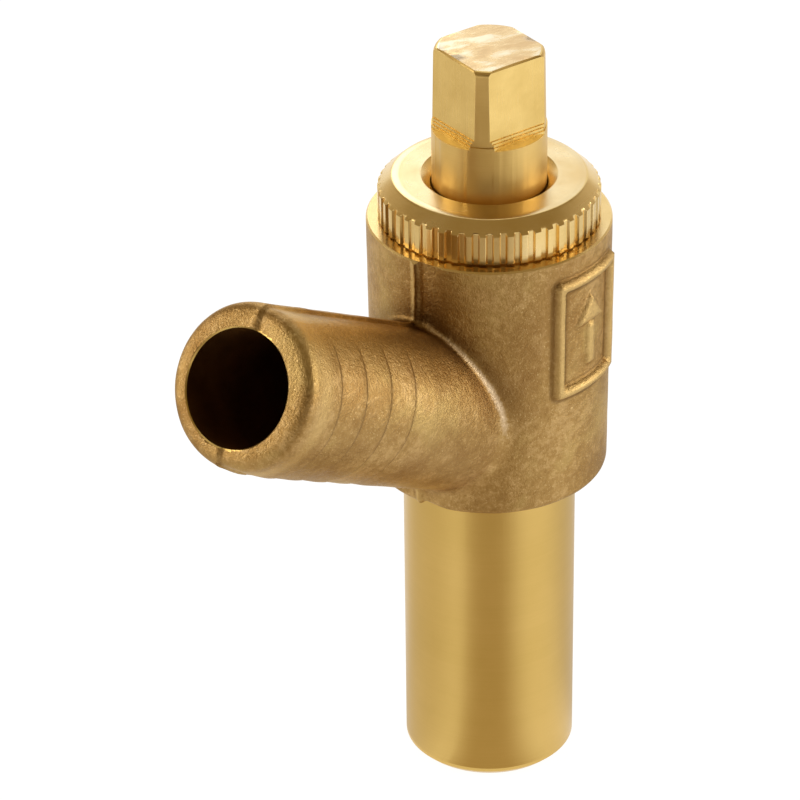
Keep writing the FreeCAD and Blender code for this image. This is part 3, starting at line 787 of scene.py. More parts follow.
@dataclass
class StampedBody:
    """Stamped body with its spigot, barrel, hose tail and machined water ways. Sizes are in millimetres."""

    barrel_edge: float = 0.6
    barrel_draft: float = math.radians(0.5)
    root_blend: float = 0.7
    tail_radius: float = 6.95
    lip_length: float = 1.35
    lip_width: float = 1.55
    lip_power: float = 3.0
    end_taper: float = 0.22
    end_length: float = 5.0
    end_lean: tuple[float, float] = (0.3, 0.3)
    flash_back: float = 5.4
    flash_length: float = 1.6
    barb_under: float = 0.35
    mouth_chamfer: float = 0.25
    mouth_break: float = 0.11
    rim_break: float = 0.14
    spigot_chamfer: float = 0.5
    port_radius: float = 4.25
    port_start: float = 4.66
    chamber_radius: float = 8.0
    chamber_floor: float = 31.6
    seat_top: float = 32.8
    seat_radius: float = 5.15
    seat_foot_radius: float = 5.55
    recess_radius: float = 8.9
    recess_depth: float = 1.0
    barb_count: int = 4
    barb_lead: float = 4.65
    barb_neck: float = 19.57
    barb_depth: float = 0.3
    barb_land: float = 0.6
    barb_spread: float = math.radians(55)
    seam_half_width: float = 0.5
    seam_rise: float = 0.2
    mismatch: float = 0.22
    mismatch_fade: float = 3.0
    frame_half_width: float = 4.2
    frame_half_height: float = 5.7
    frame_middle: float = 45.4
    frame_bar: float = 1.15
    frame_corner: float = 0.7
    frame_rise: float = 0.5
    voxel: float = 0.2
    snaps: int = 7
    swell: float = 0.022
    swell_size: float = 2.4
    steps: int = 256
    arrow: Arrow = field(default_factory=Arrow)

    def __post_init__(self) -> None:
        """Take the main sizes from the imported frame."""
        low, high = box_mm("valve_body")
        self.low, self.high = np.array(low), np.array(high)
        spigot, inlet, outlet = mount("inlet_spigot"), mount("inlet_bore"), mount("outlet_bore")
        self.spigot_radius = spigot["dims"]["r_mm"]
        self.barrel_bottom = spigot["pos_m"][2] / MM + spigot["dims"]["length_mm"] / 2
        self.barrel_top = box_mm("gland_seal")[1].z
        self.barrel_radius = -low.y
        self.inlet_radius = inlet["dims"]["r_mm"]
        self.inlet_depth = inlet["dims"]["length_mm"]
        self.tail_axis = Vector(outlet["axis"]).normalized()
        middle = Vector(outlet["pos_m"]) / MM
        along, reach = middle.x / self.tail_axis.x, outlet["dims"]["length_mm"] / 2
        self.tail_root = middle - self.tail_axis * along
        self.tail_length = along + reach + self.mouth_chamfer
        self.bore_radius = outlet["dims"]["r_mm"]
        self.bore_start = along - reach

    def tail_place(self) -> Matrix:
        """Give the place of a shape spun about Z that belongs on the tail's axis."""
        turn = UP.rotation_difference(self.tail_axis).to_matrix().to_4x4()
        return Matrix.Translation(self.tail_root) @ turn

    def barrel_distance(self, p: np.ndarray) -> np.ndarray:
        """Distance outside the drafted barrel, which has no top."""
        radius = self.barrel_radius - (self.barrel_top - p[:, 2]) * math.tan(self.barrel_draft)
        across = np.hypot(p[:, 0], p[:, 1]) - radius
        return rounded_corner(across, self.barrel_bottom - p[:, 2], self.barrel_edge)

    def tail_lengths(self, p: np.ndarray) -> tuple[np.ndarray, np.ndarray]:
        """Give lengths along the tail and heights above its axis, square to it."""
        offset = p - np.array(self.tail_root)
        axis = self.tail_axis
        return offset @ np.array(axis), offset[:, 2] * axis.x - offset[:, 0] * axis.z

    def tail_distance(self, p: np.ndarray) -> np.ndarray:
        """Distance outside the hose tail with its barbs."""
        along, rise = self.tail_lengths(p)
        end = smooth_step(self.tail_length - self.end_length, self.tail_length, along)
        sideways, rise = p[:, 1] - self.end_lean[0] * end, rise - self.end_lean[1] * end
        across = np.hypot(sideways, rise)
        side = np.abs(sideways) / np.maximum(across, MERGE)
        low = math.cos(self.barb_spread)
        fade = np.clip((side - low) / (1 - low), 0, 1)
        fade = np.maximum(fade, self.barb_under * smooth_step(0.2, 0.8, -rise / np.maximum(across, MERGE)))
        pitch = self.barb_pitch()
        turns = (along - self.barb_neck) / pitch
        share = turns - np.floor(turns)
        land = self.barb_land / pitch
        ramp = np.clip((share - land) / (1 - land), 0, 1)
        heel = 1 - smooth_step(0.93, 1.0, share)
        ramp = ramp * heel * ((turns > 0) & (turns < self.barb_count))
        out = across - self.tail_radius + self.barb_depth * ramp * fade + self.end_taper * end
        outward = np.maximum(out / self.lip_width + 1, 0) ** self.lip_power
        onward = np.maximum((along - self.tail_length) / self.lip_length + 1, 0) ** self.lip_power
        lip = (outward + onward) ** (1 / self.lip_power) - 1
        past = along > self.tail_length - self.lip_length
        return np.maximum(np.where(past, lip * self.lip_width, out), -along)

    def seam(self, p: np.ndarray) -> np.ndarray:
        """Share of the seam's height where the dies met, with its trimmed unevenness."""
        uneven = 0.85 + 0.15 * np.sin(p[:, 2] * 1.7 + np.sin(p[:, 0] * 0.9)) * np.sin(p[:, 0] * 1.3 + 0.6)
        wander = 0.07 * np.sin(p[:, 2] * 0.8 + p[:, 0] * 0.5)
        share = np.clip(np.abs(p[:, 1] - wander) / self.seam_half_width, 0, 1)
        along, rise = self.tail_lengths(p)
        flash = np.exp(-((along - self.tail_length + self.flash_back) / self.flash_length) ** 2) * (rise > 0)
        trimmed = 1 - smooth_step(0.3, 2.0, p[:, 0] - self.barrel_radius) * (0.75 - flash)
        return 0.5 * (1 + np.cos(math.pi * share)) * uneven * trimmed

    def seam_step(self, p: np.ndarray) -> np.ndarray:
        """Share of the step at the seam, where one die sat lower than the other."""
        return smooth_step(0.02, 0.2, p[:, 1]) * (1 - smooth_step(0.3, self.mismatch_fade, p[:, 1]))

    def panel_places(self, p: np.ndarray) -> tuple[np.ndarray, np.ndarray]:
        """Give places on the unrolled side of the barrel, from the raised frame's middle."""
        turn = np.arctan2(p[:, 0], p[:, 1])
        return turn * self.barrel_radius, p[:, 2] - self.frame_middle

    def frame_height(self, p: np.ndarray) -> np.ndarray:
        """Height of the raised frame above the barrel."""
        x, y = self.panel_places(p)
        outside = box_distance(x, y, self.frame_half_width, self.frame_half_height, self.frame_corner)
        from_middle = np.abs(outside + self.frame_bar / 2)
        half = self.frame_bar / 2
        return self.frame_rise * (1 - smooth_step(0.5 * half, 1.15 * half, from_middle))

    def frame_foot(self, p: np.ndarray) -> np.ndarray:
        """Share of the painted shade along the frame's foot."""
        x, y = self.panel_places(p)
        outside = box_distance(x, y, self.frame_half_width, self.frame_half_height, self.frame_corner)
        from_foot = np.abs(np.abs(outside + self.frame_bar / 2) - 0.62 * self.frame_bar)
        return (1 - smooth_step(0.05, 0.3, from_foot)) * (p[:, 1] > 0)

    def barb_line(self, p: np.ndarray) -> np.ndarray:
        """Share of the painted shade in the corner of each barb's step."""
        offset = p - np.array(self.tail_root)
        along = offset @ np.array(self.tail_axis)
        turns = (along - self.barb_neck) / self.barb_pitch()
        from_step = np.abs(turns - np.round(turns) + 0.02) * self.barb_pitch()
        steps = (turns > 0.5) & (turns < self.barb_count + 0.5)
        side = np.abs(p[:, 1]) / self.tail_radius
        return (1 - smooth_step(0.06, 0.32, from_step)) * steps * smooth_step(math.cos(self.barb_spread), 0.8, side)

    def barb_pitch(self) -> float:
        """Give the length of one barb."""
        return (self.tail_length - self.barb_lead - self.barb_neck) / self.barb_count

    def arrow_height(self, p: np.ndarray) -> np.ndarray:
        """Height of the flow arrow above the barrel."""
        x, y = self.panel_places(p)
        near = np.abs(x) < self.frame_half_width
        return self.arrow.rise * near * (1 - smooth_step(-0.25, 0.12, self.arrow.distance(-x, y)))

    def distance(self, p: np.ndarray) -> np.ndarray:
        """Distance outside the whole stamping."""
        joined = rounded_union(self.barrel_distance(p), self.tail_distance(p), self.root_blend)
        raised = self.seam_rise * self.seam(p) + self.frame_height(p) + self.arrow_height(p)
        return joined - raised + self.mismatch * self.seam_step(p)

    def slope(self, p: np.ndarray, way: Callable[[np.ndarray], np.ndarray]) -> tuple[np.ndarray, np.ndarray]:
        """Give a distance and the direction in which it grows.

        Args:
            p: Places in millimetres.
            way: The distance to look at.

        Returns:
            The distances and their gradients.
        """
        nudge = 0.01
        here = way(p)
        grown = [way(p + nudge * np.eye(3)[axis]) for axis in range(3)]
        return here, (np.stack(grown, axis=1) - here[:, None]) / nudge

    def blank(self) -> bpy.types.Object:
        """Join the plain barrel and tail and give them an even skin."""
        radius = self.barrel_radius
        high = self.barrel_top + 1.0
        barrel = spun([(0, self.barrel_bottom), (radius, self.barrel_bottom), (radius, high), (0, high)], 96)
        tail = spun([(0, 0), (self.tail_radius, 0), (self.tail_radius, self.tail_length), (0, self.tail_length)],
                    96, place=self.tail_place())
        piece = object_from(barrel, "stamped_body")
        join(piece, tail, Join.ADD)
        skin = piece.modifiers.new("skin", "REMESH")
        skin.mode, skin.voxel_size = "VOXEL", self.voxel
        bake_modifiers(piece)
        return piece

    def press(self, piece: bpy.types.Object) -> None:
        """Press the even skin into the dies' shape, with the slight swell of a blasted surface.

        Args:
            piece: The blank.
        """
        p = places(piece.data)
        capped = (p[:, 2] > self.barrel_top + 0.6) & (p[:, 0] < self.barrel_radius + 1)
        start = p.copy()
        for _ in range(self.snaps):
            away, grad = self.slope(p, self.distance)
            p = p - grad * (away / np.maximum((grad * grad).sum(axis=1), 0.25))[:, None]
        _, grad = self.slope(p, self.distance)
        grad /= np.maximum(np.linalg.norm(grad, axis=1), MERGE)[:, None]
        swell = np.array([noise.noise(Vector(q) / self.swell_size) for q in p])
        p = p + grad * (swell * self.swell)[:, None]
        p[capped] = start[capped]
        set_places(piece.data, np.clip(p, self.low, self.high))

    def bore_outline(self) -> Outline:
        """Give the outline of everything that is machined about the barrel's axis."""
        top, edge = self.barrel_top, self.barrel_radius - self.rim_break
        return [
            (0, -1), (self.inlet_radius, -1), (self.inlet_radius, self.inlet_depth),
            (self.port_radius, self.inlet_depth), (self.port_radius, self.seat_top),
            (self.seat_radius, self.seat_top), (self.seat_foot_radius, self.chamber_floor),
            (self.chamber_radius, self.chamber_floor), (self.chamber_radius, top - self.recess_depth),
            (self.recess_radius, top - self.recess_depth), (self.recess_radius, top), (edge, top),
            (edge + 3 * self.rim_break, top - 3 * self.rim_break), (edge + 3, top - 3 * self.rim_break),
            (edge + 3, top + 3), (0, top + 3)]

    def outlet_outline(self) -> Outline:
        """Give the outline of the outlet, along the tail."""
        end = self.tail_length
        return [
            (0, self.port_start), (self.port_radius, self.port_start), (self.port_radius, self.bore_start),
            (self.bore_radius, self.bore_start), (self.bore_radius, end - self.mouth_break),
            (self.bore_radius + self.mouth_break, end), (self.bore_radius + self.mouth_break, end + 1),
            (0, end + 1)]

    def machine(self, piece: bpy.types.Object) -> None:
        """Add the turned spigot and cut the rim and the water ways.

        Args:
            piece: The pressed body.
        """
        radius, chamfer = self.spigot_radius, self.spigot_chamfer
        spigot = [(0, 0), (radius - chamfer, 0), (radius, chamfer), (radius, self.barrel_bottom + 0.7),
                  (0, self.barrel_bottom + 0.7)]
        join(piece, spun(spigot, self.steps), Join.ADD)
        join(piece, spun(self.bore_outline(), self.steps), Join.CUT)
        join(piece, spun(self.outlet_outline(), self.steps, place=self.tail_place()), Join.CUT)

    def slots(self, middle: np.ndarray, normal: np.ndarray) -> np.ndarray:
        """Say how each face was made.

        Args:
            middle: Middles of the faces.
            normal: Normals of the faces.

        Returns:
            The slot of each face.
        """
        across = np.hypot(middle[:, 0], middle[:, 1])
        offset = middle - np.array(self.tail_root)
        along = offset @ np.array(self.tail_axis)
        from_tail = np.linalg.norm(offset - along[:, None] * np.array(self.tail_axis), axis=1)
        underside = np.abs(middle[:, 2] - self.barrel_bottom) < 0.06
        spigot = (middle[:, 2] < self.barrel_bottom - 0.06) & (across > self.inlet_radius + 0.01)
        inside = (across < self.recess_radius + 0.05) & ~underside & ~spigot
        rim = (middle[:, 2] > self.barrel_top - 0.5) & (normal[:, 2] > 0.5) & (across < self.barrel_radius + 0.5)
        outlet = (from_tail < self.bore_radius + 0.01) & (along > self.port_start)
        mouth = (from_tail < self.bore_radius + self.mouth_break - 0.01) & (along > self.port_start)
        kind = np.where(spigot | mouth, Skin.MACHINED, Skin.STAMPED)
        kind = np.where(inside | outlet, Skin.WATER_WAY, kind)
        return np.where(rim, Skin.RIM, kind).astype(np.int32)

    def mark(self, mesh: bpy.types.Mesh) -> None:
        """Tell machined faces from stamped ones and keep wear, painted highlights and painted shade for the finish.

        Args:
            mesh: The machined body, in millimetres.
        """
        mesh.polygons.foreach_set("material_index", self.slots(face_middles(mesh), face_normals(mesh)))
        p = places(mesh)
        raised = self.frame_height(p) / self.frame_rise + self.arrow_height(p) / self.arrow.rise
        crease = np.maximum(self.barrel_distance(p), self.tail_distance(p))
        along, rise = self.tail_lengths(p)
        # Painted highlight along the fillet where the tail meets the barrel, stored as crease
        line = (1 - smooth_step(0.18, 0.6, crease)) * smooth_step(-2.0, 2.0, rise) * smooth_step(0.3, 2.5, p[:, 1])
        lip = smooth_step(self.tail_length - 1.2, self.tail_length - 0.5, along)
        ridge = 0.6 * smooth_step(3.0, 6.0, rise) * smooth_step(self.barrel_radius + 2, self.barrel_radius + 9, along)
        ridge *= smooth_step(0.6, 2.2, p[:, 1])
        # Painted highlight: a bright band on the tail's side just behind the lip
        edge = 0.75 * np.exp(-((along - self.tail_length + self.lip_length + 1.0) / 1.1) ** 2) * (p[:, 1] > 0)
        tail = smooth_step(0.3, 1.5, p[:, 0] - self.barrel_radius)
        store(mesh, "wear_and_highlight", np.clip(self.seam(p) * (0.5 + 0.5 * (1 - tail)) + raised + ridge * (1 - lip) + edge, 0, 1))
        store(mesh, "crease", line)
        # Where the seam gets its painted highlight and painted shade
        store(mesh, "split", (p[:, 0] > 0) * (rise > 0) * (1 - tail))
        # Painted shade: darker above the tail's root, in the seam's notch on the lip, along the frame's foot and in
        # the barbs' steps
        above = smooth_step(self.tail_root.z + 2, self.tail_root.z + 10, p[:, 2])
        corner = (1 - smooth_step(0.1, 2.6, crease)) * (p[:, 0] > 0) * above * (1 - line)
        seam_foot = np.exp(-((p[:, 1] - 0.2) / 0.11) ** 2) * (p[:, 0] > 0) * lip
        painted_shade = np.maximum.reduce([corner, 0.95 * seam_foot, self.frame_foot(p), 0.6 * self.barb_line(p)])
        store(mesh, "painted_shade", painted_shade)

    def build(self, finishes: Sequence[bpy.types.Material]) -> bpy.types.Object:
        """Build the body and dress it.

        Args:
            finishes: Stamped, machined, water way and rim finish.

        Returns:
            The finished piece.
        """
        piece = self.blank()
        self.press(piece)
        self.machine(piece)
        self.mark(piece.data)
        shade(piece.data, 28, Skin.STAMPED)
        to_metres(piece)
        place_piece(piece, "cock_body", "valve_body", finishes)
        return piece


@dataclass
class GlandNut:
    """Knurled ring that closes the barrel. Sizes are in millimetres."""

    bore_radius: float = 4.975
    shank_radius: float = 7.94
    chamfer_height: float = 1.1
    chamfer_width: float = 1.19
    countersink: float = 0.72
    edge_break: float = 0.07
    foot_gap: float = 0.13
    foot_inset: float = 0.5
    ribs: int = 50
    rib_steps: int = 20
    groove_depth: float = 0.24
    crest: float = 0.44
    root: float = 0.35
    unevenness: float = 0.12

    def __post_init__(self) -> None:
        """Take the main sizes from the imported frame."""
        low, high = box_mm("gland_nut")
        self.radius, self.bottom, self.top = high.x, low.z, high.z
        self.seat = box_mm("gland_seal")[1].z

    def outline(self) -> tuple[Outline, dict[int, int]]:
        """Give the ring's outline, with extra rows where the knurl is pressed in."""
        cone, lip, mouth = self.top - self.chamfer_height, self.radius - self.chamfer_width, self.bore_radius + self.countersink
        b, inset, foot = self.edge_break, self.radius - self.foot_inset, self.seat + self.foot_gap
        corners = [
            (self.bore_radius, self.bottom), (self.shank_radius, self.bottom), (self.shank_radius, self.seat),
            (inset, self.seat), (inset, foot), (self.radius - b, foot), (self.radius, foot + b), (self.radius, cone),
            (lip + b, self.top - b), (lip - b, self.top), (mouth + b, self.top), (mouth - b, self.top - 1.5 * b),
            (self.bore_radius, self.top - self.countersink)]
        return corners, {6: 16, 7: 12, 9: 3}

    def groove_radius(self, turn: np.ndarray) -> np.ndarray:
        """Give the knurl's radius at an angle, a little uneven from rib to rib.

        Args:
            turn: Angles about the axis.

        Returns:
            Radius of the knurled side.
        """
        pitch = turn / FULL_TURN * self.ribs
        rib = np.round(pitch).astype(int) % self.ribs
        lean = self.unevenness * np.array([noise.noise(Vector((n * 3.7, 0.5, 0))) for n in range(self.ribs)])
        deep = 1 + 2 * self.unevenness * np.array([noise.noise(Vector((n * 5.3, 9.5, 0))) for n in range(self.ribs)])
        from_middle = np.abs(pitch - np.round(pitch) - 0.5 * lean[rib])
        sunk = 1 - smooth_step(0.5 * self.root, 0.5 - 0.5 * self.crest, from_middle)
        return self.radius - self.groove_depth * sunk * deep[rib]

    def build(self, finishes: Sequence[bpy.types.Material]) -> bpy.types.Object:
        """Build the ring, press its knurl and dress it.

        Args:
            finishes: Turned and faced finish.

        Returns:
            The finished piece.
        """
        corners, cuts = self.outline()
        piece = object_from(spun(corners, self.ribs * self.rib_steps, cuts), "knurled_gland_nut")
        p = places(piece.data)
        across = np.hypot(p[:, 0], p[:, 1])
        pressed = np.where(p[:, 2] > self.seat - MERGE, self.groove_radius(np.arctan2(p[:, 1], p[:, 0])), across)
        shrunk = np.minimum(1, pressed / across)
        p[:, :2] *= np.where(across > self.shank_radius + MERGE, shrunk, 1)[:, None]
        set_places(piece.data, p)
        # Top faces that get the paler finish of the painted highlight
        faced = (face_middles(piece.data)[:, 2] > self.top - MERGE) & (face_normals(piece.data)[:, 2] > 0.9)
        kinds = np.where(faced, RingFace.FACED, RingFace.TURNED).astype(np.int32)
        piece.data.polygons.foreach_set("material_index", kinds)
        shade(piece.data, 32)
        to_metres(piece)
        place_piece(piece, "cock_body", "gland_nut", finishes)
        return piece


@dataclass
class Spindle:
    """Spindle with its turned stem and milled square. Sizes are in millimetres."""

    stem_radius: float = 4.85
    head_height: float = 7.28
    corner_radius: float = 4.74
    corner_top_radius: float = 4.63
    corner_lift: float = 0.3
    half_width: float = 3.775
    half_top_width: float = 3.61
    step: float = 0.1
    step_height: float = 0.27
    step_count: int = 3
    top_round: float = 0.5
    round_steps: int = 6
    top_break: float = 0.15
    crown: float = 0.06
    crown_steps: int = 8
    far_flats: float = 0.38
    top_lean: float = 0.16
    lean_turn: float = 80.85
    turn: float = -16.35
    collar_radius: float = 7.94
    collar_base: float = 43.4
    collar_top: float = 46.4
    collar_chamfer: float = 0.4
    foot_radius: float = 4.2
    hole_radius: float = 2.45
    pocket_radius: float = 2.85
    pocket: tuple[float, float] = (40.15, 41.05)
    groove_radius: float = 3.315
    groove: tuple[float, float] = (49.75, 51.95)
    edge_break: float = 0.07
    steps: int = 192

    def __post_init__(self) -> None:
        """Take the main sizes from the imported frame."""
        low, high = box_mm("spindle")
        self.bottom, self.top = low.z, high.z
        self.ledge = self.top - self.head_height
        self.corner_base = self.ledge + self.corner_lift

    def stem_outline(self) -> Outline:
        """Give the outline of everything below the square's ledge."""
        c = self.collar_chamfer
        return [
            (0, self.collar_base), (self.hole_radius, self.collar_base), (self.hole_radius, self.pocket[1]),
            (self.pocket_radius, self.pocket[1]), (self.pocket_radius, self.pocket[0]),
            (self.hole_radius, self.pocket[0]), (self.hole_radius, self.bottom), (self.foot_radius, self.bottom),
            (self.foot_radius, self.collar_base), (self.collar_radius - c, self.collar_base),
            (self.collar_radius, self.collar_base + c), (self.collar_radius, self.collar_top - c),
            (self.collar_radius - c, self.collar_top), (self.stem_radius, self.collar_top),
            (self.stem_radius, self.groove[0]), (self.groove_radius, self.groove[0]),
            (self.groove_radius, self.groove[1]), (self.stem_radius, self.groove[1]),
            (self.stem_radius, self.ledge), (0, self.ledge)]

    def crown_height(self, across: float) -> float:
        """Give the height of the cropped top at a distance from the axis."""
        return self.top - self.crown * (across / self.corner_top_radius) ** 2

    def top_outline(self) -> Outline:
        """Give the outline of the rounded corners' tops and the crowned top, up to the axis."""
        middle = self.corner_top_radius - self.top_round
        slope = 2 * self.crown * middle / self.corner_top_radius ** 2
        edge = middle + self.top_round * math.sin(slope)
        base = self.crown_height(edge) - self.top_round * math.cos(slope)
        turns = [(0.5 * math.pi - slope) * step / self.round_steps for step in range(self.round_steps + 1)]
        rounded = [(middle + self.top_round * math.cos(a), base + self.top_round * math.sin(a)) for a in turns]
        across = [edge * (1 - step / self.crown_steps) for step in range(1, self.crown_steps + 1)]
        return rounded + [(r, self.crown_height(r)) for r in across]

    def milled(self, outline: Outline, half_low: float, half_high: float, top_break: float = 0.0) -> bmesh.types.BMesh:
        """Turn a length of the head and mill four flats on it.

        Args:
            outline: Outline of the turned length.
            half_low: Half the width across flats where the length starts.
            half_high: Half the width across flats where it ends.
            top_break: Width taken off the flats' upper edges.

        Returns:
            The milled length.
        """
        bm = spun(outline, self.steps)
        low, high = outline[0][1], outline[-1][1]
        lean = (half_low - half_high) / (high - low)
        for quarter in range(4):
            out = Matrix.Rotation(math.radians(self.turn + 90 * quarter), 3, "Z") @ Vector((1, 0, 0))
            left = self.far_flats if quarter > 1 else 0.0
            cut = bmesh.ops.bisect_plane(bm, geom=bm.verts[:] + bm.edges[:] + bm.faces[:], dist=MERGE,
                                         plane_co=out * (half_low + left) + UP * low, plane_no=out + UP * lean,
                                         clear_outer=True)
            rim = [item for item in cut["geom_cut"] if isinstance(item, bmesh.types.BMEdge)]
            bmesh.ops.holes_fill(bm, edges=rim)
            if top_break:
                edge = out * (half_high + left - top_break) + UP * self.crown_height(half_high + left)
                cut = bmesh.ops.bisect_plane(bm, geom=bm.verts[:] + bm.edges[:] + bm.faces[:], dist=MERGE,
                                             plane_co=edge, plane_no=out + UP, clear_outer=True)
                rim = [item for item in cut["geom_cut"] if isinstance(item, bmesh.types.BMEdge)]
                bmesh.ops.holes_fill(bm, edges=rim)
        bmesh.ops.dissolve_limit(bm, angle_limit=math.radians(0.2), verts=bm.verts, edges=bm.edges)
        bmesh.ops.recalc_face_normals(bm, faces=bm.faces)
        return bm

    def head_lengths(self) -> list[bmesh.types.BMesh]:
        """Give the stepped feet of the flats and the tapered square above them."""
        sink, base, lengths = 0.1, self.ledge, []
        for number in range(self.step_count):
            half = self.half_width + (self.step_count - number) * self.step
            radius = self.corner_radius if number else self.stem_radius
            low, high = base - sink, base + self.step_height
            lengths.append(self.milled([(0, low), (radius, low), (radius, high), (0, high)], half, half))
            base = high
        square = [(0, base - sink), (self.corner_radius, base - sink), *self.top_outline()]
        return lengths + [self.milled(square, self.half_width, self.half_top_width, self.top_break)]

    def squareness(self, normals: np.ndarray) -> np.ndarray:
        """Say how squarely each face looks out of its nearest flat.

        Args:
            normals: Normals of the faces.

        Returns:
            Cosine of the angle from that flat's direction.
        """
        turns = [math.radians(self.turn + 90 * quarter) for quarter in range(4)]
        return np.max([normals[:, 0] * math.cos(a) + normals[:, 1] * math.sin(a) for a in turns], axis=0)

    def lean(self, mesh: bpy.types.Mesh) -> None:
        """Lower one side of the cropped top, which was not cut quite square."""
        p, turn = places(mesh), math.radians(self.lean_turn)
        share = 0.5 + 0.5 * (p[:, 0] * math.cos(turn) + p[:, 1] * math.sin(turn)) / self.corner_top_radius
        p[:, 2] -= self.top_lean * share * smooth_step(self.top - 2.0, self.top - self.top_round, p[:, 2])
        set_places(mesh, p)

    def build(self, finishes: Sequence[bpy.types.Material]) -> bpy.types.Object:
        """Build the spindle and dress it.

        Args:
            finishes: Turned, milled, cropped and ledge finish.

        Returns:
            The finished piece.
        """
        piece = object_from(spun(self.stem_outline(), self.steps), "square_spindle")
        for length in self.head_lengths():
            join(piece, length, Join.ADD)
        bm = bmesh.new()
        bm.from_mesh(piece.data)
        bmesh.ops.dissolve_limit(bm, angle_limit=math.radians(0.2), verts=bm.verts, edges=bm.edges)
        bm.to_mesh(piece.data)
        bm.free()
        edges = piece.modifiers.new("edges", "BEVEL")
        edges.width, edges.segments, edges.limit_method = self.edge_break, 2, "ANGLE"
        edges.angle_limit = math.radians(24)
        bake_modifiers(piece)
        self.lean(piece.data)
        height, normals = face_middles(piece.data)[:, 2], face_normals(piece.data)
        square, upright = self.squareness(normals), normals[:, 2]
        head = height > self.ledge + MERGE
        kinds = np.where(head & ((square > 0.93) | (upright > 0.9)), Face.MILLED, Face.TURNED)
        topmost = (height > self.top - self.top_round - self.top_lean) & (upright > 0.97)
        kinds = np.where(topmost, Face.CROPPED, kinds)
        kinds = np.where((np.abs(height - self.ledge) < 0.01) & (upright > 0.9), Face.LEDGE, kinds)
        piece.data.polygons.foreach_set("material_index", kinds.astype(np.int32))
        shade(piece.data, 30)
        square_up(piece.data, (Face.MILLED, Face.LEDGE), 0.3)
        normals = piece.modifiers.new("normals", "WEIGHTED_NORMAL")
        normals.weight, normals.keep_sharp = 90, True
        bake_modifiers(piece)
        to_metres(piece)
        place_piece(piece, "spindle_set", "spindle", finishes)
        return piece


@dataclass(frozen=True)
class Lamp:
    """Soft lamp, placed round the object as a camera is."""

    name: str
    azimuth: float
    elevation: float
    distance: float
    width: float
    height: float
    power: float


@dataclass(frozen=True)
class FloorCard:
    """Grey wedge on the floor that only metal shows, fading to white at its sides."""

    name: str
    azimuth: float
    half_angle: float
    near: float
    far: float
    near_tone: Colour
    far_tone: Colour


@dataclass(frozen=True)
class Flag:
    """Grey card in the air that only metal shows, facing the object."""

    name: str
    azimuth: float
    elevation: float
    distance: float
    width: float
    height: float
    tone: Colour


@dataclass(frozen=True)
class Dome:
    """Dull part of the sky that only metal shows, open behind the object."""

    name: str
    azimuth: float
    half_angle: float
    low: float
    high: float
    radius: float
    low_tone: Colour
    high_tone: Colour


